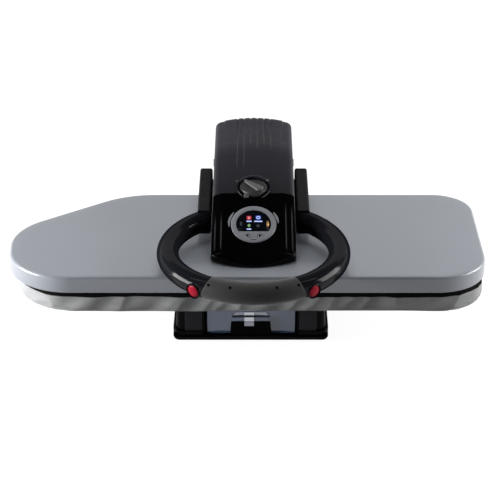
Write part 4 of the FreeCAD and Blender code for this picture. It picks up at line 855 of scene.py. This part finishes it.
def makePod():
    # rows between an outer and an inner plan curve follow a section of wall, rounded edge and bevel; the bevel is
    # deep at the sides and shallow at the nose, and the flat face closes on its middle line
    p = podShape
    outer = podCurve(0, 0, p["cornerRound"])
    inner = podCurve(p["bevel"], p["noseBevel"], p["innerRound"])
    section = roundedPath(p["section"], p["sectionBends"], 9)
    section = evenly(section, 56)[1:]
    sideways = smoothStep(p["nose"] + p["noseBow"] * 0.55, p["corner"] + 4 * mm, outer[:, 1])
    deep = p["noseDrop"] / p["drop"] + (1 - p["noseDrop"] / p["drop"]) * sideways
    xy = outer[None] + (inner - outer)[None] * (section[:, :1, None] / p["bevel"])
    xy[:, :, 1] = np.minimum(xy[:, :, 1], shellShape["seam"])
    faceZ = lambda y: p["seamHeight"] + (y - shellShape["seam"]) * faceRise
    z = faceZ(xy[:, :, 1]) + section[:, 1:] * deep[None]
    walls = np.linspace(0, 1, p["wallRows"] + 1)[:-1, None]
    wallZ = p["base"] + (z[:1] - p["base"]) * walls
    wallXY = np.broadcast_to(outer[None], (p["wallRows"],) + outer.shape)
    spine = np.stack([np.zeros(len(outer)), np.clip(xy[-1, :, 1], p["spineFront"], shellShape["seam"])], axis=1)
    shares = np.linspace(0, 1, p["faceRows"] + 1)[1:, None, None]
    flat = xy[-1][None] + (spine - xy[-1])[None] * shares
    grid = np.concatenate([np.concatenate([wallXY, xy, flat]),
                           np.concatenate([wallZ, z, faceZ(flat[:, :, 1])])[:, :, None]], axis=2)
    grid[:, :, 0] *= shellHalf(grid[:, :, 2]) / shellShape["half"]
    grid[:, :, 0] += armX
    # two thin lines of painted highlight run along each side's bevel
    inset = np.concatenate([np.full(p["wallRows"], -1), section[:, 0], np.full(p["faceRows"], 1)])[:, None]
    edges = sum(np.exp(-((inset - middle) / p["lineWidth"]) ** 2) for middle in p["lineInsets"])
    y = grid[:, :, 1]
    back = np.where(grid[:, :, 0] < armX, *p["lineBack"])
    along = smoothStep(*p["lineFront"], y) * smoothStep(back, back - p["lineFade"], y)
    pod = gridMesh("podShell", grid, around=False, sharpAngle=30)
    markHighlightLines(pod, np.clip(edges * along, 0, 1))
    mergeDoubles(pod, 30)
    cutAway(walled(pod, shellShape["wall"]), [dialWay()], 30)
    finishPiece(pod, "arm", "podBlack", ["pod_cover"])


makePod()
print("pod made")


# Bezel, display and keys on the sloping face

bezelShape = {"centre": (armX, -119 * mm, (175 - (119 - 72.5) * faceRise) * mm),
              **inMm(radius=30.6, rise=1.3, lens=23.5, lensMiddle=-0.6, flat=11.3, keySide=8.8, keyDrop=19.6,
                     keyRadius=3.5)}
onFace = spotAt(bezelShape["centre"], faceTilt)


def offsets(radius, height, *steps):  # points of a profile, each so many mm from a radius and a height
    return [(radius + out * mm, height + up * mm) for out, up in steps]


def domeOutline(radius, flat, middle, count=120):  # a circle cut off flat below, with evenly spaced points
    end = math.asin(flat / radius)
    angle = np.linspace(-end, math.pi + end, 90)
    arc = np.stack([radius * np.cos(angle), radius * np.sin(angle) + middle], axis=1)
    return evenly(arc, count, closed=True)


def makeBezel():
    # a rim profile turned about the face's normal, a glass whose outline is a circle cut off flat below, and a bent
    # strip of painted highlight on either side that narrows to points
    b = bezelShape
    r, h = b["radius"], b["rise"]
    rim = [(0, h - 0.35 * mm), *offsets(r, h, (-7.2, -0.35), (-6.9, -0.1), (-6.4, 0), (-1.6, 0), (-0.7, -0.25),
                                        (-0.15, -0.8), (0, -1.6)), (r, -1.5 * mm), (0, -1.5 * mm)]
    finishPiece(turnedShape("bezelFace", rim, onFace, 144, 30), "arm", "bezelSilverAndGlint", ["bezel"])
    outline = domeOutline(b["lens"], b["flat"], b["lensMiddle"])
    dome = slabMesh("displayGlass", outline, 0, h - 0.05 * mm, 0.25 * mm, onFace)
    finishPiece(dome, "arm", "displayGlass", ["display_lens"])
    # painted highlights: silver crescents where a raised ring's sides would catch the light
    for name, start, end in (("crescentLeft", 143, 188), ("crescentRight", 3, 37)):
        piece = arcStrip(name, r + 2.5 * mm, 3.3 * mm, start, end, -0.8 * mm, 0.7 * mm, onFace, taper=0.9)
        finishPiece(piece, "arm", "bezelSilverAndGlint")


def makeKeys():  # a turned cap with rounded edges for each key, a seat round it and an arrow on it
    b = bezelShape
    k, high = b["keyRadius"], b["rise"] + 0.9 * mm
    for side, sign in sides:
        shift = np.array([sign * b["keySide"], -b["keyDrop"], 0])
        onKey = lambda points, shift=shift: onFace(np.asarray(points) + shift)
        profile = [(0, high), (k * 0.7, high - 0.12 * mm), *offsets(k, high, (-0.4, -0.3), (0, -0.8)),
                   (k, -3.2 * mm), (0, -3.2 * mm)]
        cap = turnedShape("key_" + side, profile, onKey, 48, 30)
        finishPiece(cap, side + "_key", "keyGrey", ["panel_button_" + side])
        arrow = np.array([(2.6, 0), (-1.9, 2.5), (-1.9, -2.5)]) * mm * [sign, 1]
        arrow = evenly(arrow[::sign], 60, closed=True)
        mark = slabMesh("arrow_" + side, arrow, high - 0.5 * mm, high + 0.12 * mm, 0.02 * mm, onKey)
        seat = arcStrip("keySeat_" + side, k + 0.45 * mm, 0.6 * mm, 0, 359.9, -0.5 * mm, b["rise"] - 0.3 * mm,
                        onKey, 60)
        finishPiece(seat, "arm", "markDark")
        finishPiece(mark, side + "_key", "markDark")


iconPlaces = [  # name, outline, material and level above the glass
    ("iconHot", roundedBox(6.4 * mm, 6.4 * mm, 1.4 * mm, (-6.2 * mm, 10.2 * mm)), "iconRed", 0),
    ("iconHotMark", disc(1.5 * mm, (-6.2 * mm, 10.0 * mm), 1.5), "iconPink", 1),
    ("iconHotBar", roundedBox(6.8 * mm, 2.0 * mm, 0.5 * mm, (-6.2 * mm, 4.4 * mm)), "iconWhite", 0),
    ("iconSteam", roundedBox(7.6 * mm, 6.8 * mm, 1.6 * mm, (6.3 * mm, 10.6 * mm)), "iconBlue", 0),
    ("iconSteamMark", disc(2.7 * mm, (6.3 * mm, 10.5 * mm), 1.0), "iconWhite", 1),
    ("iconSteamHole", disc(1.4 * mm, (6.3 * mm, 10.4 * mm), 1.0), "iconBlue", 2),
    ("iconSteamBar", roundedBox(11.0 * mm, 2.0 * mm, 0.5 * mm, (6.3 * mm, 4.3 * mm)), "iconWhite", 0),
    ("iconReady", disc(1.9 * mm, (-6.2 * mm, -2.6 * mm), 1.35), "iconGreen", 0),
    ("iconReadyBar", roundedBox(6.2 * mm, 2.0 * mm, 0.5 * mm, (-6.2 * mm, -8.6 * mm)), "iconWhite", 0),
    ("iconRest", disc(2.4 * mm, (6.0 * mm, -3.0 * mm), 1.0), "iconDim", 0),
    ("iconWarm", disc(1.9 * mm, (18.9 * mm, 0.0 * mm), 2.8), "iconOrange", 0),
    ("iconWarmMark", disc(0.9 * mm, (19.6 * mm, -1.0 * mm), 2.4), "iconAmber", 1),
    ("iconIdle", disc(1.6 * mm, (-16.9 * mm, 0.6 * mm), 2.2), "iconDim", 0),
]


def makeIcons():  # thin plates on the glass, each a little higher than the one it lies on
    base = bezelShape["rise"] - 0.05 * mm
    for name, outline, material, level in iconPlaces:
        piece = slabMesh(name, outline, base - 0.2 * mm, base + (0.06 + 0.05 * level) * mm, 0.02 * mm, onFace)
        finishPiece(piece, "arm", material)
    for count in (-1, 0, 1):
        outline = roundedBox(1.9 * mm, 1.5 * mm, 0.25 * mm, (count * 2.6 * mm, -26.0 * mm), 24)
        dash = slabMesh("panelDash_%d" % (count + 2), outline, 0, base + 0.1 * mm, 0.03 * mm, onFace)
        finishPiece(dash, "arm", "markDark")


makeBezel()
makeKeys()
makeIcons()
print("bezel, keys and display made")


# Dial and knob

onRoof = spotAt((armX, -72.1 * mm, 175 * mm), 14.29)


def onSlope(points):  # round the dial on the pod's face, where its cup meets the slope in an ellipse
    return spotAt((armX, -59.03 * mm, 182.4 * mm), faceTilt)(np.asarray(points) * [1, 1.084, 1])


def makeDial():  # bent strips of painted highlight round the cup's edge, a tab in front of it, and behind it an arc of painted highlight along the well's upper edge and two printed marks
    d = dialShape
    r = d["radius"]
    # painted highlights: short grey strips on the cup's rim at the lower left and right
    for name, start, end in d["rims"]:
        rim = arcStrip(name, r + 0.3 * mm, 1.0 * mm, start, end, -1 * mm, 0.35 * mm, onSlope, taper=0.8)
        finishPiece(rim, "arm", "rimHighlight")
    onWay = lambda points: onRoof(np.asarray(points) + [0, 13.9 * mm, 0])
    # painted highlight: a thin grey arc along the well's upper edge, in the printed marks' grey
    scale = arcStrip("dialEdgeGlint", r + 0.4 * mm, 0.6 * mm, *d["scale"], -0.5 * mm, 0.1 * mm, onWay, 60)
    finishPiece(scale, "arm", "printAndGlintGrey")
    outline = roundedBox(*d["tab"], 1.0 * mm, d["tabMiddle"], 32)
    finishPiece(slabMesh("dialTab", outline, -4 * mm, 0.8 * mm, 0.4 * mm, onSlope), "arm", "knobPale")
    onMark = lambda points: onRoof(np.asarray(points) + [*d["lowMiddle"], 0])
    ring = arcStrip("markLow", d["lowMark"], 0.7 * mm, 0, 359.9, -0.4 * mm, 0.1 * mm, onMark)
    finishPiece(ring, "arm", "printAndGlintGrey")
    outline = roundedBox(*d["fullMark"], 0.8 * mm, d["fullMiddle"], 32)
    full = slabMesh("markFull", outline, -0.6 * mm, 0.1 * mm, 0.05 * mm, onRoof)
    finishPiece(full, "arm", "printAndGlintGrey")


def finOutline():  # two arcs, small at the pointer's tip and large at its lobe, joined by straight sides
    small, large, near, far = dialShape["fin"]
    lean = math.asin((large - small) / (far - near))
    head = np.linspace(-np.pi / 2 + lean, np.pi / 2 - lean, 40) * -1
    tail = np.linspace(np.pi / 2 - lean, 3 * np.pi / 2 + lean, 24)
    path = np.concatenate([np.stack([far + large * np.cos(-head), large * np.sin(-head)], axis=1),
                           np.stack([near + small * np.cos(tail), small * np.sin(tail)], axis=1)])
    turn = math.radians(dialShape["finTurn"])
    spin = np.array([[math.cos(turn), math.sin(turn)], [-math.sin(turn), math.cos(turn)]])
    return evenly(path, 90, closed=True) @ spin


def makeKnob():  # a turned cap with a raised rim, a fin that stands across it and a painted highlight dot at the fin's broad end
    d = dialShape
    low, r = d["knobLow"], d["knob"]
    high = low + d["knobRise"]
    profile = [(0, high - 0.5 * mm), (r * 0.55, high - 0.35 * mm),
               *offsets(r, high, (-1.6, 0), (-0.9, -0.1), (-0.3, -0.5), (0, -1.2)), (r + 0.5 * mm, low), (0, low)]
    cap = turnedShape("knobCap", profile, onDial, 120, 30)
    finishPiece(cap, "steam_knob", "knobGrey", ["knob"])
    fin = slabMesh("knobFin", finOutline(), high - 1 * mm, high + d["finRise"], 0.7 * mm, onDial, 35)
    finishPiece(fin, "steam_knob", "knobPale")
    top = high + d["finRise"]
    # painted highlight: a small pale metal dot
    dot = turnedShape("knobDot", [(0, top + 0.35 * mm), (0.7 * mm, top + 0.25 * mm), (1.2 * mm, top - 0.1 * mm),
                                  (0, top - 0.1 * mm)],
                      lambda points: onDial(np.asarray(points) + [9.2 * mm, -8.4 * mm, 0]), 24, 50)
    finishPiece(dot, "steam_knob", "glintPale")


makeDial()
makeKnob()
print("dial and knob made")


# Ring handle

ringShape = {
    "centre": (armX, -168.0 * mm, 132.5 * mm), "tilt": 2.0, "gripAngle": 31.3, "endAngle": 157.0, "slant": 2.3,
    "stations": 124, "around": 64, "buttonAngle": 37.3, "buttonLift": -4,
    "screws": ((-27.4, 44), (-13.9, 51), (13.9, 51), (27.4, 44)),
    **inMm(radius=113.4, tube=14.45, buttonSink=2.5, buttonRadius=8.9, collarRadius=10.4, wallHalf=58.3),
}
onRing = spotAt(ringShape["centre"], ringShape["tilt"])


def onTube(angle, lift):  # local z points straight out of the tube's middle, local x runs along it
    a, e = math.radians(angle), math.radians(lift)
    out = np.array([math.sin(a), -math.cos(a), 0])
    along = np.array([math.cos(a), math.sin(a), 0])
    high = np.array([0, 0, 1])
    turn = np.stack([along, math.cos(e) * high - math.sin(e) * out, math.cos(e) * out + math.sin(e) * high])
    return lambda points: onRing(np.asarray(points) @ turn + out * ringShape["radius"])


def ringTube(name, startAngle, endAngle):
    # circles along the ring's centre line, which starts at the front and runs to the right
    r = ringShape
    angle = np.radians(np.linspace(startAngle, endAngle, r["stations"]))
    out = np.stack([np.sin(angle), -np.cos(angle), np.zeros_like(angle)], axis=1)
    turn = np.linspace(0, 2 * np.pi, r["around"], endpoint=False)
    grid = out[:, None] * (r["radius"] + r["tube"] * np.cos(turn)[None, :, None])
    grid[:, :, 2] += r["tube"] * np.sin(turn)[None]
    poles = [onRing((out[k] * r["radius"])[None]) for k in (0, -1)]
    return gridMesh(name, onRing(grid), firstPole=poles[0], lastPole=poles[1], sharpAngle=50)


def boxMesh(name, low, high):  # the eight corners between two opposite ones
    corners = np.stack(np.meshgrid(*zip(low, high), indexing="ij"), axis=-1).reshape(-1, 3)
    faces = [(0, 1, 3, 2), (4, 6, 7, 5), (0, 4, 5, 1), (2, 3, 7, 6), (0, 2, 6, 4), (1, 5, 7, 3)]
    return makeMesh(name, corners, faces, 30)


def onButton(sign):  # the button sits a little below the tube's middle
    spot = onTube(sign * ringShape["buttonAngle"], ringShape["buttonLift"])
    return lambda points: spot(np.asarray(points) - [0, ringShape["buttonSink"], 0])


def makeRing():  # a tube on either side with a seat cut for its collar, and a turned button and collar in each seat
    r = ringShape
    for side, sign in sides:
        tube = ringTube("ringTube_" + side, sign * (r["gripAngle"] - 3), sign * r["endAngle"])
        spot = onButton(sign)
        half = r["wallHalf"]
        wall = boxMesh("wallRoom", (armX - half, -120 * mm, 90 * mm), (armX + half, 0, 180 * mm))
        cutAway(tube, [plug("seat_" + side, r["collarRadius"], 4.6 * mm, 30 * mm, spot), wall], 50)
        finishPiece(tube, "handle", "ringBlack", ["handle_ring_" + side])
        b = r["buttonRadius"]
        profile = [(0, 15.5 * mm), (b * 0.4, 15.35 * mm), (b * 0.75, 14.8 * mm),
                   *offsets(b, 0, (-0.7, 14.0), (-0.1, 13.0), (0, 12.2), (0, 9)), (0, 9 * mm)]
        button = turnedShape("redButton_" + side, profile, spot, 72, 35)
        finishPiece(button, side + "_button", "buttonRed", ["button_" + side])
    collars = []
    for sign in (-1, 1):
        c = r["collarRadius"] + 0.1 * mm
        rim = [(9.0 * mm, 6 * mm), (9.0 * mm, 14.2 * mm), (9.25 * mm, 15.2 * mm), (9.75 * mm, 15.7 * mm),
               (c - 0.25 * mm, 15.3 * mm), (c, 14.4 * mm), (c, 6 * mm)]
        collars.append(turnedShape("collar", rim, onButton(sign), 72, 60))
    finishPiece(joined("buttonCollars", collars, 60), "handle", "ringBlack", ["button_collars"])


def makeGrip():  # a thick sleeve whose ends close in a short quarter ellipse, with four sunk screw holes
    r = ringShape
    reach = r["gripAngle"] + 0.3
    share = np.linspace(-1, 1, 141)
    share = np.sign(share) * (1 - (1 - np.abs(share)) ** 1.25)
    dome = np.sqrt(np.clip(1 - (np.clip(np.abs(share) - 0.95, 0, 1) / 0.05) ** 2, 0, 1))
    turn = np.linspace(0, 2 * np.pi, r["around"], endpoint=False)
    a = np.radians(share[:, None] * (reach - r["slant"] * np.sin(turn))[None])
    out = np.stack([np.sin(a), -np.cos(a), np.zeros_like(a)], axis=2)
    radii = (r["tube"] - 1.6 * mm + 1.95 * mm * dome)[:, None]
    grid = out * (r["radius"] + radii * np.cos(turn)[None])[:, :, None]
    grid[:, :, 2] += radii * np.sin(turn)[None]
    poles = [onRing(grid[k].mean(0)[None]) for k in (0, -1)]
    grip = gridMesh("gripSleeve", onRing(grid), firstPole=poles[0], lastPole=poles[1], sharpAngle=50)
    holes = [plug("hole", 2.0 * mm, 11.4 * mm, 22 * mm, onTube(angle, lift)) for angle, lift in r["screws"]]
    cutAway(grip, holes, 50)
    finishPiece(grip, "handle", "gripRubber", ["handle_grip"])
    profile = np.array([(0, 12.1), (1.0, 12.1), (1.9, 11.8), (1.9, 11.2), (0, 11.2)]) * mm
    heads = [turnedShape("head", profile, onTube(angle, lift), 24) for angle, lift in r["screws"]]
    finishPiece(joined("gripScrewHeads", heads), "handle", "blackSteel")


makeRing()
makeGrip()
print("ring and grip made")


# Base front and tank

baseShape = inMm(cheek=(65.4, 88.8), cheekHeight=(12.9, 49), front=-166.6, lipFront=-169.8,
                 lipCorners=[(-105.2, 0.2), (105.2, 0.2), (104.6, 8.0), (-104.6, 8.0)],
                 lipBends=[7.6, 7.6, 0.5, 0.5])


def makeBaseFront():  # the tray's lip across the front, and a satin panel on either side of the tank
    b = baseShape
    lip = roundedPath(b["lipCorners"], b["lipBends"], 10, closed=True)
    lip = slabMesh("trayLip", evenly(lip, 160, closed=True), -9 * mm, 0, 2.2 * mm, facingFront(b["lipFront"]))
    finishPiece(lip, "base", "basePlastic")
    (near, far), (low, high) = b["cheek"], b["cheekHeight"]
    for side, sign in sides:
        outline = roundedBox(far - near, high - low, 1.6 * mm, (sign * (near + far) / 2, (low + high) / 2))
        cheek = slabMesh("cheekPanel_" + side, outline, -2.6 * mm, 0, 0.8 * mm, facingFront(b["front"]))
        finishPiece(cheek, "base", "cheekSatin")


tankShape = {
    **inMm(panel=(118.6, 37), panelMiddle=(0.4, 25.6), panelFront=-163.6, pullFront=-168, tabWidth=13,
           pull=[(-27.8, 8.2), (27.8, 8.2), (26.4, 28.2), (-26.4, 28.2)], pullBends=[0.5, 0.5, 1.2, 1.2],
           tabMiddle=-2.2),
    "bands": [  # name, low, high, half width below and above, front, finish
        ("tankBank", 27.4, 33.8, 26.2, 25.2, -167.2, "tankClear"),
        ("tankScoop", 35.0, 40.6, 24.8, 20.0, -164.6, "tankPaleAndGlint"),
        ("tankLine", 33.9, 34.8, 25.8, 25.4, -166.8, "tankShade"),
    ],
    "glints": [  # strips of painted highlight: name, high, low, front, finish
        ("glintPaleTop", 40.6, 35.2, -165.2, "glintPale"),
        ("glintPaleMiddle", 34.4, 28.0, -168.0, "glintPale"),
        ("glintPaleFoot", 27.6, 21.4, -168.5, "tankPaleAndGlint"),
    ],
}


def tankPiece(name, outline, depth, bevel, front, finish, replaced=()):  # depth, bevel in mm
    piece = slabMesh(name, outline, -depth * mm, 0, bevel * mm, facingFront(front))
    finishPiece(piece, "water_tank", finish, replaced)


def makeTankFront():
    # a pale front panel; on it a black pull, wider at its foot, with a pale bank on top, a pale scoop above that
    # and a strip of painted highlight over the middle, in three steps
    t = tankShape
    panel = roundedBox(*t["panel"], 0.5 * mm, t["panelMiddle"], 120)
    tankPiece("tankPanel", panel, 7.5, 0.5, t["panelFront"], "tankClear")
    pull = roundedPath(t["pull"], t["pullBends"], 6, closed=True)
    pull = evenly(pull, 120, closed=True)
    tankPiece("tankPull", pull, 4.6, 0.6, t["pullFront"], "deepBlack", ["tank_grip"])
    for name, low, high, near, far, front, finish in t["bands"]:
        corners = np.array([(-near, low), (near, low), (far, high), (-far, high)]) * mm
        outline = evenly(roundedPath(corners, [0.3 * mm] * 4, 4, closed=True), 120, closed=True)
        tankPiece(name, outline, 3.4, 0.2, front * mm, finish)
    # painted highlight: pale strips down the pull's middle, over the scoop, the bank and the pull's top
    for name, high, low, front, finish in t["glints"]:
        middle = (t["tabMiddle"], (high + low) / 2 * mm)
        outline = roundedBox(t["tabWidth"], (high - low) * mm, 0.5 * mm, middle, 40)
        tankPiece(name, outline, 1, 0.2, front * mm, finish)


makeBaseFront()
makeTankFront()
print("base front made")


# Studio

studioShape = {
    "floorSpan": 8.0, "floorGlow": 0.93, "floorGrey": 0.18, "skyDiffuse": 0.07, "skyTop": 0.03,
    "horizon": (0.04, 0.34),  # the sine of the height at which white ends and the dark is full
    "lamps": [  # name, place, target, width, height, watts, seen in reflections
        ("overheadLamp", (0.0, 0.75, 2.0), (0, -0.05, 0.1), 1.6, 0.9, 17, False),
        ("backLamp", (0.0, 2.4, 1.35), (0, -0.05, 0.12), 5.0, 1.7, 15, True),
        ("leftLamp", (-1.25, -0.30, 0.30), (0, -0.05, 0.10), 0.7, 0.5, 25, True),
        ("rightLamp", (1.35, -0.02, 0.5), (0, 0.0, 0.12), 0.8, 0.7, 17, True),
        ("leftStrip", (-0.85, -0.1, 1.75), (0, -0.1, 0.15), 0.1, 1.2, 1.6, True),
        ("rightStrip", (0.85, -0.1, 1.75), (0, -0.1, 0.15), 0.1, 1.2, 1.6, True),
    ],
}


def backgroundSeen(tree):  # 1 for a ray from the camera, in gloss or through glass
    rays = addNode(tree, "LightPath").outputs
    seen = worked(tree, "MAXIMUM", rays["Is Camera Ray"], rays["Is Glossy Ray"])
    return worked(tree, "MAXIMUM", seen, rays["Is Transmission Ray"])


def makeFloor():
    s = studioShape
    mesh = bpy.data.meshes.new("floor")
    span = s["floorSpan"]
    mesh.from_pydata([(-span, -span, 0), (span, -span, 0), (span, span, 0), (-span, span, 0)], [], [(0, 1, 2, 3)])
    floor = bpy.data.objects.new("floor", mesh)
    bpy.context.scene.collection.objects.link(floor)
    material = bpy.data.materials.new("floorWhite")
    material.use_nodes = True
    tree, shader = material.node_tree, shaderOf(material)
    for socket, value in (("Base Color", (s["floorGrey"], s["floorGrey"], s["floorGrey"], 1)), ("Roughness", 0.9),
                          ("Specular IOR Level", 0.0), ("Emission Color", (1, 1, 1, 1))):
        shader[socket].default_value = value
    tree.links.new(mapped(tree, backgroundSeen(tree), 0.0, s["floorGlow"]), shader["Emission Strength"])
    mesh.materials.append(material)


def makeWorld():
    # white round the horizon for what sees it directly or in gloss, dark overhead; an even soft light otherwise
    s = studioShape
    world = bpy.data.worlds.new("studio")
    bpy.context.scene.world = world
    world.use_nodes = True
    tree = world.node_tree
    height = addNode(tree, "SeparateXYZ", {"Vector": addNode(tree, "TexCoord").outputs["Generated"]}).outputs["Z"]
    low, high = s["horizon"]
    sky = addNode(tree, "MapRange", {"Value": height, "From Min": low, "From Max": high, "To Min": 1.0,
                                     "To Max": s["skyTop"]}, interpolation_type="SMOOTHSTEP")
    strength = addNode(tree, "Mix", {"A": s["skyDiffuse"], "B": sky.outputs["Result"],
                                     "Factor": backgroundSeen(tree)})
    tree.links.new(strength.outputs["Result"], tree.nodes["Background"].inputs["Strength"])
    tree.nodes["Background"].inputs["Color"].default_value = (1, 1, 1, 1)


def makeLamps():
    for name, where, target, width, height, power, reflected in studioShape["lamps"]:
        data = bpy.data.lights.new(name, "AREA")
        data.shape = "RECTANGLE"
        data.size, data.size_y = width, height
        data.energy = power
        lamp = bpy.data.objects.new(name, data)
        lamp.location = where
        lamp.rotation_euler = Vector(np.array(target) - np.array(where)).to_track_quat("-Z", "Y").to_euler()
        lamp.visible_glossy = reflected
        bpy.context.scene.collection.objects.link(lamp)


cameraShape = {**inMm(place=(3.8, -2243.4, 1133.8)), "down": 25.7, "sensor": 36.0,
               "focal": 1745, "picture": 500, "shift": -3.6}  # the last three in pixels


def makeCamera():
    c = cameraShape
    data = bpy.data.cameras.new("camera")
    data.sensor_width = c["sensor"]
    data.lens = c["focal"] / c["picture"] * c["sensor"]
    data.shift_x = c["shift"] / c["picture"]
    data.clip_start, data.clip_end = 0.1, 30
    camera = bpy.data.objects.new("camera", data)
    camera.location = c["place"]
    camera.rotation_euler = (math.radians(90 - c["down"]), 0, 0)
    bpy.context.scene.collection.objects.link(camera)
    bpy.context.scene.camera = camera


bpy.context.scene.view_settings.view_transform = "Standard"
makeFloor()
makeWorld()
makeLamps()
makeCamera()
print("studio made")

bpy.context.view_layer.update()
